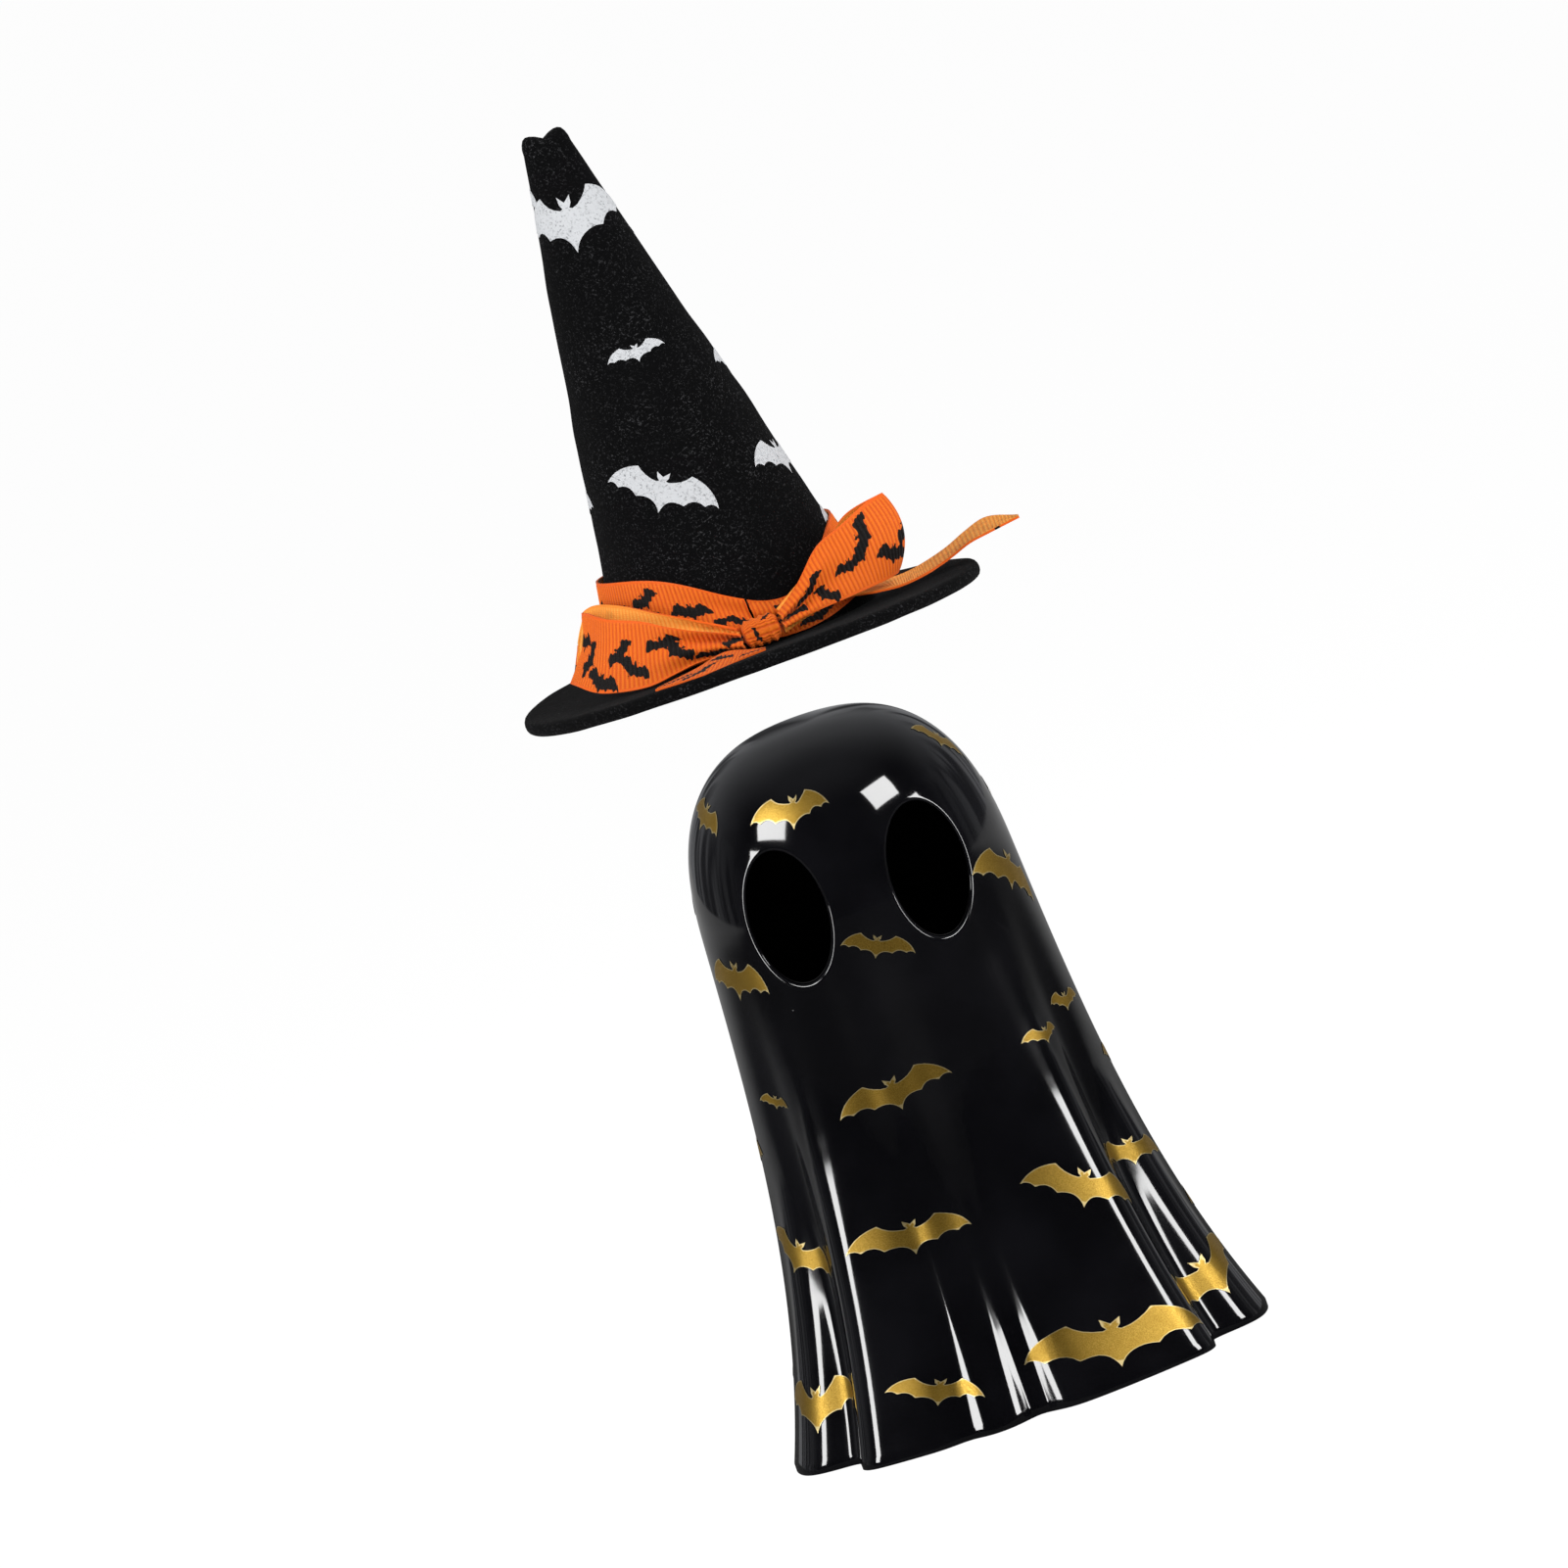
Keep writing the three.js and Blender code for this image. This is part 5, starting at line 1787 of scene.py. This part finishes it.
@dataclass(frozen=True)
class Ribbon:
    """The grosgrain ribbon round the hat: a band, a knot, two loops and two tails."""

    hat: FeltHat
    width: float = 16.0
    thickness: float = 0.6
    band_rise: float = 5.0
    band_tilt: float = 1.0
    band_dip: float = 8.3
    pull_angle: float = 20.0
    knot_reach: float = 36.0
    knot_gather: float = 0.5
    knot_angle: float = 5.0
    knot_width: float = 8.0
    knot_depth: float = 6.4
    knot_height: float = 7.6
    knot_bluntness: float = 0.62
    knot_waist: float = 0.16
    knot_crease: float = 0.13
    knot_creases: float = 2.3
    crease_bend: float = 1.6
    crease_start: float = 0.4
    knot_ribs: float = 24.0
    knot_rib_height: float = 0.012
    knot_shown: float = 0.86
    knot_hidden: float = 1.1
    knot_marks: tuple[PrintMark, ...] = (PrintMark(-0.4, 6.0, 2.2, 30.0),
                                         PrintMark(4.0, 11.0, 2.6, -50.0))
    print_pitch: float = 5.2
    print_sizes: Pair = (4.0, 5.5)
    print_turn: float = 70.0
    ripples: float = 1.6
    groove_share: float = 0.55
    selvedge: float = 0.6
    rib_pitch: float = 1.05
    steps_per_mm: float = 4.0
    rows: int = 34

    @property
    def rest(self) -> float:
        """Lowest height of a ribbon's middle over the brim."""
        return self.thickness / 2.0 + self.hat.seat

    def near_knot(self, angle: float) -> float:
        """Says from 0 to 1 how close an angle is to where the knot pulls the band."""
        return bell(wrapped(angle - self.pull_angle), self.knot_reach)

    def band_middle(self, angle: float) -> float:
        """Gives the height of the band's middle over the foot of the cone."""
        tilt = self.band_tilt * math.sin(math.radians(angle))
        return self.width / 2.0 + self.band_rise - tilt - self.band_dip * self.near_knot(angle)

    def band_half(self, angle: float) -> float:
        """Gives half the width that the band shows."""
        return self.width / 2.0 * (1.0 - self.knot_gather * self.near_knot(angle))

    @property
    def knot_radius(self) -> float:
        """Gives the distance of the knot's middle from the hat's axis."""
        inside = self.hat.base_radius + self.hat.seat + self.thickness + self.hat.seat
        return inside + self.knot_depth / 2.0

    def marks(self, length: float, seed: float) -> list[PrintMark]:
        """Scatters the print's bats along a length of ribbon, always in the same way.

        Args:
            length: Length of the ribbon.
            seed: Place in the print where it begins.

        Returns:
            The bats.
        """
        count = max(int(length / self.print_pitch), 1)
        marks = []
        for number in range(count):
            wander = scatter(number, 0.618, seed)
            along = (number + 0.3 + 0.4 * wander) * length / count
            across = self.width * (0.2 + 0.6 * scatter(number, 0.3819, seed * 1.7))
            size = mix(*self.print_sizes, scatter(number, 0.7548, seed))
            turn = mix(-self.print_turn, self.print_turn, scatter(number, 0.5698, seed * 2.3))
            marks.append(PrintMark(along, across, size, turn))
        return marks

    def weave(self, how: Weaving, lower: Sequence[Vector], upper: Sequence[Vector]) -> Object:
        """Weaves a stretch of ribbon between two edges.

        Args:
            how: How it is woven.
            lower: Points of the lower edge, evenly spaced and as many as the upper ones.
            upper: Points of the upper edge.

        Returns:
            The piece, with the place along and across the ribbon and the print on its points.
        """
        columns = len(lower) - 1
        put_down()
        bpy.ops.mesh.primitive_grid_add(x_subdivisions=columns, y_subdivisions=self.rows, size=1.0)
        piece = bpy.context.object
        piece.name = how.name
        middles = [(low + high) / 2.0 for low, high in zip(lower, upper)]
        lengths = lengths_along(middles)
        sides = []
        for step in range(columns + 1):
            run = middles[min(step + 1, columns)] - middles[max(step - 1, 0)]
            sides.append(run.cross(upper[step] - lower[step]).normalized())
        along, across, weights = [], [], []
        for vertex in piece.data.vertices:
            step = round((vertex.co.x + 0.5) * columns)
            share = vertex.co.y + 0.5
            folded = max(1.0 - (upper[step] - lower[step]).length / self.width, 0.0) * how.gather
            ripple = folded * math.sin(2.0 * math.pi * self.ripples * share + 0.8 + 0.02 * lengths[step])
            hollow = how.cup * math.sin(math.pi * step / columns) ** 8 * 4.0 * share * (1.0 - share)
            vertex.co = (lower[step].lerp(upper[step], share) + sides[step] * (ripple + hollow)) * MM
            along.append(lengths[step])
            across.append(share * self.width)
            rib = 0.5 + 0.5 * math.cos(2.0 * math.pi * lengths[step] / self.rib_pitch)
            from_edge = min(share, 1.0 - share) * self.width
            weights.append(rib if from_edge > self.selvedge else self.groove_share)
        self.note_print(piece, along, across, self.marks(lengths[-1], how.seed))
        ribs = piece.vertex_groups.new(name="ribs")
        for number, weight in enumerate(weights):
            ribs.add([number], weight, "REPLACE")
        if how.face_back:
            piece.data.flip_normals()
        # Back faces and rims get the paler orange, which is painted light.
        dress(piece, RIBBON_FACE, RIBBON_BACK_PAINTED_LIT)
        apply_modifier(piece, "SOLIDIFY", thickness=self.thickness * MM, offset=0.0, vertex_group="ribs",
                       thickness_vertex_group=self.groove_share, material_offset=1, use_rim=True)
        smooth(piece, sharp_angle=70.0)
        return piece

    def note_print(self, piece: Object, along: Sequence[float], across: Sequence[float],
                   marks: Sequence[PrintMark]) -> None:
        """Writes each point's place on the ribbon and its distance from the print into the mesh."""
        note(piece, "along", along)
        note(piece, "across", across)
        note(piece, "print", self.print_distance(along, across, marks))

    @staticmethod
    def print_distance(along: Sequence[float], across: Sequence[float],
                       marks: Sequence[PrintMark]) -> np.ndarray:
        """Measures how far each point of the ribbon lies from the nearest bat of the print.

        Args:
            along: Place of each point along the ribbon.
            across: Place of each point across the ribbon.
            marks: The bats of the print.

        Returns:
            One distance a point, below 0 inside a bat and at most 2 away from them all.
        """
        farthest, reach, tallness = 2.0, 1.4, 1.3
        places = np.stack([np.array(along), np.array(across)], axis=1)
        outline = np.array(BatStencil().outline()) * (1.0, tallness)
        nearest = np.full(len(places), farthest)
        for mark in marks:
            turn = math.radians(mark.turn)
            away = (places - (mark.along, mark.across)) / mark.size
            close = np.flatnonzero((np.abs(away) < reach).all(axis=1))
            if close.size == 0:
                continue
            x = away[close, 0] * math.cos(turn) - away[close, 1] * math.sin(turn)
            y = away[close, 0] * math.sin(turn) + away[close, 1] * math.cos(turn)
            distance = signed_distance(np.stack([x, y], axis=1), outline) * mark.size
            nearest[close] = np.minimum(nearest[close], distance)
        return nearest

    def evenly(self, lower: Sequence[Vector],
               upper: Sequence[Vector]) -> tuple[list[Vector], list[Vector]]:
        """Follows two edges through their stops and spaces their points evenly along the ribbon.

        Args:
            lower: Stops of the lower edge.
            upper: Stops of the upper edge.

        Returns:
            The points of both edges.
        """
        shares = [step / 400.0 for step in range(401)]
        middles = [(through(lower, share) + through(upper, share)) / 2.0 for share in shares]
        lengths = lengths_along(middles)
        count = int(lengths[-1] * self.steps_per_mm)
        even = [Meridian.read(lengths[-1] * step / count, lengths, shares) for step in range(count + 1)]
        return [through(lower, share) for share in even], [through(upper, share) for share in even]

    def strip(self, how: Weaving, stops: Sequence[Stop]) -> Object:
        """Makes a loose stretch of ribbon along its stops.

        Args:
            how: How it is woven.
            stops: Where its lower edge runs, and how it leans there.

        Returns:
            The piece.
        """
        lower, upper = [], []
        for stop in stops:
            low = facing(stop.angle) * (self.hat.base_radius + stop.out)
            low.z = self.hat.brim_thickness + (self.rest + stop.up)
            low += self.hat.origin
            inward = stop.angle if stop.inward is None else stop.inward
            lean = math.radians(stop.lean)
            reach = facing(inward) * -math.sin(lean) + Vector((0.0, 0.0, math.cos(lean)))
            lower.append(low)
            upper.append(low + reach * self.width * stop.share)
        return self.weave(how, *self.evenly(lower, upper))

    def band(self) -> Object:
        """Makes the band that lies round the foot of the cone.

        Returns:
            The band.
        """
        around = 2.0 * math.pi * self.hat.base_radius
        count = int(around * self.steps_per_mm)
        half_gap, play = 0.5, 0.5
        stand = self.hat.seat + self.thickness / 2.0 + play
        lower, upper = [], []
        for step in range(count + 1):
            angle = self.knot_angle + mix(half_gap, 360.0 - half_gap, step / count)
            for half, edge in ((-1.0, lower), (1.0, upper)):
                up = self.band_middle(angle) + half * self.band_half(angle)
                point = facing(angle) * (self.hat.cone_radius(up) + stand)
                point.x -= self.hat.lean * up
                point.z = self.hat.foot + up
                edge.append(self.hat.origin + point)
        return self.weave(Weaving("ribbon_round_cone", 0.15, False, 1.1), lower, upper)

    def knot(self) -> Object:
        """Makes the knot: a tight turn of ribbon with creases drawn to its middle.

        Returns:
            The knot.
        """
        put_down()
        bpy.ops.mesh.primitive_uv_sphere_add(segments=96, ring_count=64, radius=1.0,
                                             rotation=(0.0, math.pi / 2.0, 0.0))
        piece = bpy.context.object
        piece.name = "ribbon_tied_knot"
        bpy.ops.object.transform_apply(location=True, rotation=True, scale=True)
        middle = facing(self.knot_angle) * self.knot_radius
        middle = self.hat.origin + middle + Vector((0.0, 0.0, self.hat.foot + self.knot_height / 2.0))
        right = facing(self.knot_angle + 90.0)
        front = facing(self.knot_angle)
        along, across = [], []
        for vertex in piece.data.vertices:
            turn = math.atan2(vertex.co.z, -vertex.co.y)
            blunt = [math.copysign(abs(value) ** self.knot_bluntness, value) for value in vertex.co]
            waist = 1.0 - self.knot_waist * (1.0 - abs(blunt[0]) ** 2)
            fold = self.knot_creases * math.pi * blunt[0] + self.crease_bend * math.sin(turn)
            crease = 1.0 - self.knot_crease * abs(math.sin(fold + self.crease_start))
            ribs = 1.0 + self.knot_rib_height * math.cos(turn * self.knot_ribs)
            size = waist * crease * ribs
            sideways = right * blunt[0] * self.knot_width / 2.0
            outwards = front * blunt[1] * size * self.knot_depth / 2.0
            upwards = Vector((0.0, 0.0, blunt[2] * size * self.knot_height / 2.0))
            vertex.co = (middle + (sideways - outwards + upwards)) * MM
            along.append(turn * self.knot_ribs * self.rib_pitch / (2.0 * math.pi))
            across.append((blunt[0] + 1.0) * self.width / 2.0 * self.knot_shown + self.knot_hidden)
        self.note_print(piece, along, across, self.knot_marks)
        with editing(piece):
            face_outwards()
        dress(piece, RIBBON_FACE)
        smooth(piece)
        return piece

    def at_knot(self, side: int, half: int, up: float, share: float) -> Stop:
        """Gives the stop at the knot's left or right side, on its outer or inner half.

        Args:
            side: -1 on the left, 1 on the right.
            half: 1 on the outer half, -1 on the inner one.
            up: Its height.
            share: Share of the width that shows.

        Returns:
            The stop.
        """
        radius = self.knot_radius + half * self.knot_depth / 4.0
        sideways = self.knot_width / 2.0 + self.hat.seat + self.thickness / 2.0
        angle = self.knot_angle + side * math.degrees(math.atan2(sideways, radius))
        return Stop(angle, math.hypot(sideways, radius) - self.hat.base_radius, up, 0.0, share)

    def strips(self) -> dict[str, tuple[Weaving, list[Stop]]]:
        """Lists the loops, which run from the knot out and back, and the tails.

        The right tail runs out over the brim and lifts at its tip, the left one lies on it in front.

        Returns:
            By the node of each one, how it is woven and its stops.
        """
        return {
            "ribbon_loop_left": (Weaving("ribbon_left_bow", 0.42, True, 1.5, 1.2), [
                self.at_knot(-1, 1, 0.6, 0.24),
                Stop(-18.0, 7.3, 1.6, 16.0, 0.42),
                Stop(-27.0, 9.0, 0.9, 20.0, 0.64),
                Stop(-36.0, 10.5, 0.0, 24.0, 0.88),
                Stop(-52.0, 12.7, 1.2, 27.0, 1.0),
                Stop(-67.0, 12.0, 3.6, 30.0, 0.98),
                Stop(-78.0, 10.4, 4.0, 29.0, 0.94),
                Stop(-74.0, 7.2, 3.6, 22.0, 0.96),
                Stop(-53.0, 5.6, 1.8, 17.0, 1.0),
                Stop(-30.0, 4.0, 1.0, 8.0, 0.76),
                self.at_knot(-1, -1, 0.6, 0.3),
            ]),
            "ribbon_loop_right": (Weaving("ribbon_right_bow", 0.77, False, 1.5, 2.8), [
                self.at_knot(1, 1, 2.6, 0.2),
                Stop(22.0, 7.0, 3.4, 6.0, 0.42),
                Stop(33.0, 8.6, 3.7, 6.0, 0.78),
                Stop(45.0, 10.1, 3.9, 6.0, 0.92),
                Stop(56.0, 10.4, 4.0, 0.0, 1.04),
                Stop(64.0, 9.2, 4.2, -8.0, 1.06),
                Stop(66.0, 6.6, 4.2, -10.0, 1.04),
                Stop(54.0, 5.0, 4.0, 0.0, 0.96),
                Stop(34.0, 3.8, 3.4, 0.0, 0.6),
                self.at_knot(1, -1, 2.6, 0.24),
            ]),
            "ribbon_tail_right": (Weaving("ribbon_right_end", 0.9, True), [
                Stop(12.5, 5.6, 1.4, 5.0, 0.2),
                Stop(24.0, 5.6, 3.0, 5.0, 0.3),
                Stop(38.0, 6.6, 3.4, 5.0, 0.42),
                Stop(50.0, 9.0, 2.2, 80.0, 0.6, 24.0),
                Stop(58.8, 10.4, 1.4, 86.0, 0.8, 0.0),
                Stop(76.3, 13.2, 1.2, 87.0, 0.94, 0.0),
                Stop(80.1, 17.8, 2.4, 87.0, 0.94, 0.0),
                Stop(81.0, 22.4, 4.0, 86.0, 0.94, 0.0),
                Stop(81.7, 26.8, 4.7, 83.0, 0.9, 0.0),
                Stop(82.7, 34.0, 5.7, 83.0, 0.1, 0.0),
            ]),
            "ribbon_tail_left": (Weaving("ribbon_left_end", 0.3, True), [
                Stop(3.4, 10.6, 0.0, 86.0, 0.1, -6.0),
                Stop(-2.5, 13.0, 0.0, 81.0, 0.3, -12.0),
                Stop(-10.9, 20.6, 0.0, 80.0, 0.72, -18.0),
                Stop(-18.4, 20.9, 0.0, 83.0, 0.48, -22.0),
                Stop(-26.7, 20.6, 0.0, 86.0, 0.1, -26.0),
            ]),
        }

    def assemble(self) -> None:
        """Builds the pieces of the bow and puts them on the hat."""
        hand_over(self.band(), "hat", ["ribbon_band"], mirrored=False)
        hand_over(self.knot(), "hat", ["ribbon_knot"], mirrored=False)
        for node, (how, stops) in self.strips().items():
            hand_over(self.strip(how, stops), "hat", [node], mirrored=False)


# Light module

@dataclass(frozen=True)
class LightModule:
    """The pressed-in module. Its pieces keep their shape and get their finishes."""

    finishes: tuple[tuple[Finish, tuple[str, ...]], ...] = (
        (HOUSING, ("module_housing", "module_lid", "battery_door", "switch_slider")),
        (SOFT_RING, ("module_seal", "door_seal")),
        (BOARD, ("circuit_board",)),
        (CHIP, ("resistor",)),
        (LAMP, ("led_lamp",)),
        (FROSTED, ("light_diffuser",)),
        (STEEL, ("lid_screw_1", "lid_screw_2", "led_lead_1", "led_lead_2", "switch_body",
                 "coin_cell_lower", "coin_cell_upper")),
        (SPRING, ("contact_side", "contact_top")),
    )

    def dress(self) -> None:
        """Gives every piece of the module its finish."""
        for finish, nodes in self.finishes:
            material = finish.material()
            for node in nodes:
                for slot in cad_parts[node].material_slots:
                    slot.material = material
            log.info("%s on %s", finish.name, ", ".join(nodes))


# Studio

@dataclass(frozen=True)
class Softbox:
    """A lamp with an even face, turned towards the object."""

    name: str
    azimuth: float
    elevation: float
    distance: float
    width: float
    height: float
    power: float

    def place(self, target: Vector) -> None:
        """Sets the lamp up round a point, with its sizes and the distance in metres.

        Args:
            target: The point that it is turned to, in metres.
        """
        rise = math.radians(self.elevation)
        way = facing(self.azimuth) * math.cos(rise) + Vector((0.0, 0.0, math.sin(rise)))
        put_down()
        bpy.ops.object.light_add(type="AREA", location=target + way * self.distance)
        lamp = bpy.context.object
        lamp.name = self.name
        lamp.rotation_euler = way.to_track_quat("Z", "Y").to_euler()
        lamp.data.shape = "RECTANGLE"
        lamp.data.size = self.width
        lamp.data.size_y = self.height
        lamp.data.energy = self.power
        lamp.visible_camera = False


@dataclass(frozen=True)
class Studio:
    """The camera, the lamps, the pale floor and the surroundings that the gloss shows."""

    centre: Vector = Vector((-0.0072, 0.0, 0.140))
    view_width: float = 0.3335
    distance: float = 3.6
    elevation: float = 6.0
    roll: float = 19.4
    sensor: float = 36.0
    farthest: float = 60.0
    white: Colour = (1.0, 1.0, 1.0)
    floor_size: float = 30.0
    floor_tone: Colour = (0.85, 0.85, 0.85)
    dim_floor_tone: Colour = (0.07, 0.07, 0.07)
    floor_fade: Pair = (0.3, 1.6)
    floor_glow: float = 1.12
    glow_share: float = 0.82
    even_light: Colour = (0.4, 0.4, 0.4)
    dark_room: Colour = ink(18, 18, 20)
    light_room: Colour = ink(158, 159, 162)
    behind_fade: Pair = (-0.2, 0.8)
    overhead_fade: Pair = (0.6, 1.0)
    overhead_share: float = 0.35
    panels_per_turn: Triple = (9.0, 9.0, 0.3)
    panel_fade: Pair = (0.4, 0.6)
    gap_fade: Pair = (0.2, 0.55)
    gap_share: float = 0.85
    lamps: tuple[Softbox, ...] = (
        Softbox("left_dome_softbox", -55.0, 35.0, 1.1, 0.44, 0.25, 5.0),
        Softbox("right_dome_softbox", 49.0, 35.0, 1.1, 0.44, 0.25, 5.0),
        Softbox("left_strip", -70.0, 11.0, 1.1, 0.17, 0.45, 3.4),
        Softbox("right_strip", 70.0, 11.0, 1.1, 0.17, 0.45, 3.4),
    )

    def camera(self) -> None:
        """Sets up the camera at the photograph's angle, turned about its line of sight."""
        rise = math.radians(self.elevation)
        back = Vector((0.0, -math.cos(rise), math.sin(rise)))
        put_down()
        bpy.ops.object.camera_add(location=self.centre + back * self.distance)
        camera = bpy.context.object
        camera.name = "photo_camera"
        turned = back.to_track_quat("Z", "Y").to_matrix().to_4x4()
        roll = math.radians(self.roll)
        right, up = turned.col[0].copy(), turned.col[1].copy()
        turned.col[0] = right * math.cos(roll) - up * math.sin(roll)
        turned.col[1] = right * math.sin(roll) + up * math.cos(roll)
        camera.rotation_euler = turned.to_euler()
        camera.data.sensor_width = self.sensor
        camera.data.lens = self.sensor * self.distance / self.view_width
        camera.data.clip_end = self.farthest
        bpy.context.scene.camera = camera

    def floor(self) -> None:
        """Lays the pale floor, white to the camera and dim in front of the object to the gloss."""
        put_down()
        bpy.ops.mesh.primitive_plane_add(size=self.floor_size)
        floor = bpy.context.object
        floor.name = "studio_floor"
        material, graph, shader = new_material("floor_white")
        paths = graph.node("LightPath").outputs
        way_back = graph.node("SeparateXYZ", {0: graph.object_place()}).outputs["Y"]
        dim = graph.times(paths["Is Glossy Ray"], graph.ramp(way_back, *self.floor_fade, 1.0, 0.0))
        tone = graph.blend(dim, self.floor_tone, self.dim_floor_tone)
        graph.feed(shader, {"Base Color": tone, "Roughness": 0.9, "Specular IOR Level": 0.0})
        glow = graph.node("Emission", {"Color": self.white, "Strength": self.floor_glow})
        seen = graph.times(paths["Is Camera Ray"], self.glow_share)
        both = graph.node("MixShader", {0: seen, 1: shader.outputs[0], 2: glow.outputs[0]})
        graph.feed(material.node_tree.nodes["Material Output"], {"Surface": both.outputs[0]})
        floor.data.materials.append(material)

    def surroundings(self) -> None:
        """Paints the world: even light, white behind the object and a dark room in front of it."""
        world = bpy.data.worlds.new("studio_world")
        bpy.context.scene.world = world
        world.use_nodes = True
        world.node_tree.nodes.clear()
        graph = Graph(world.node_tree)
        way = graph.node("TexCoord").outputs["Generated"]
        parts = graph.node("SeparateXYZ", {0: way}).outputs
        behind = graph.ramp(parts["Y"], *self.behind_fade)
        overhead = graph.ramp(parts["Z"], *self.overhead_fade, 0.0, self.overhead_share)
        panels = graph.noise(graph.stretch(way, self.panels_per_turn), 1.0, 1.0)
        between = graph.sum("SUBTRACT", 1.0, graph.ramp(panels, *self.panel_fade))
        gaps = graph.times(between, graph.ramp(parts["Z"], *self.gap_fade, self.gap_share, 0.0))
        broken = graph.times(behind, graph.sum("SUBTRACT", 1.0, gaps))
        shown = graph.sum("MINIMUM", graph.sum("ADD", broken, overhead), 1.0)
        room = graph.blend(shown, self.dark_room, self.light_room)
        paths = graph.node("LightPath").outputs
        even = graph.blend(paths["Is Glossy Ray"], self.even_light, room)
        white_seen = graph.sum("MAXIMUM", paths["Is Camera Ray"], paths["Is Transmission Ray"])
        tone = graph.blend(white_seen, even, self.white)
        background = graph.node("Background", {"Color": tone, "Strength": 1.0})
        graph.node("OutputWorld", {"Surface": background.outputs[0]})

    def set_up(self) -> None:
        """Sets up everything that isn't part of the object."""
        self.camera()
        self.floor()
        self.surroundings()
        for lamp in self.lamps:
            lamp.place(self.centre)
        bpy.context.scene.view_settings.view_transform = "Standard"


def main() -> None:
    """Builds the looks in order: studio, ghost, hat, ribbon and light module."""
    logging.basicConfig(level=logging.INFO, format="%(message)s")
    Studio().set_up()
    GhostShell().assemble()
    hat = FeltHat()
    hat.assemble()
    Ribbon(hat).assemble()
    LightModule().dress()


if __name__ == "__main__":
    main()
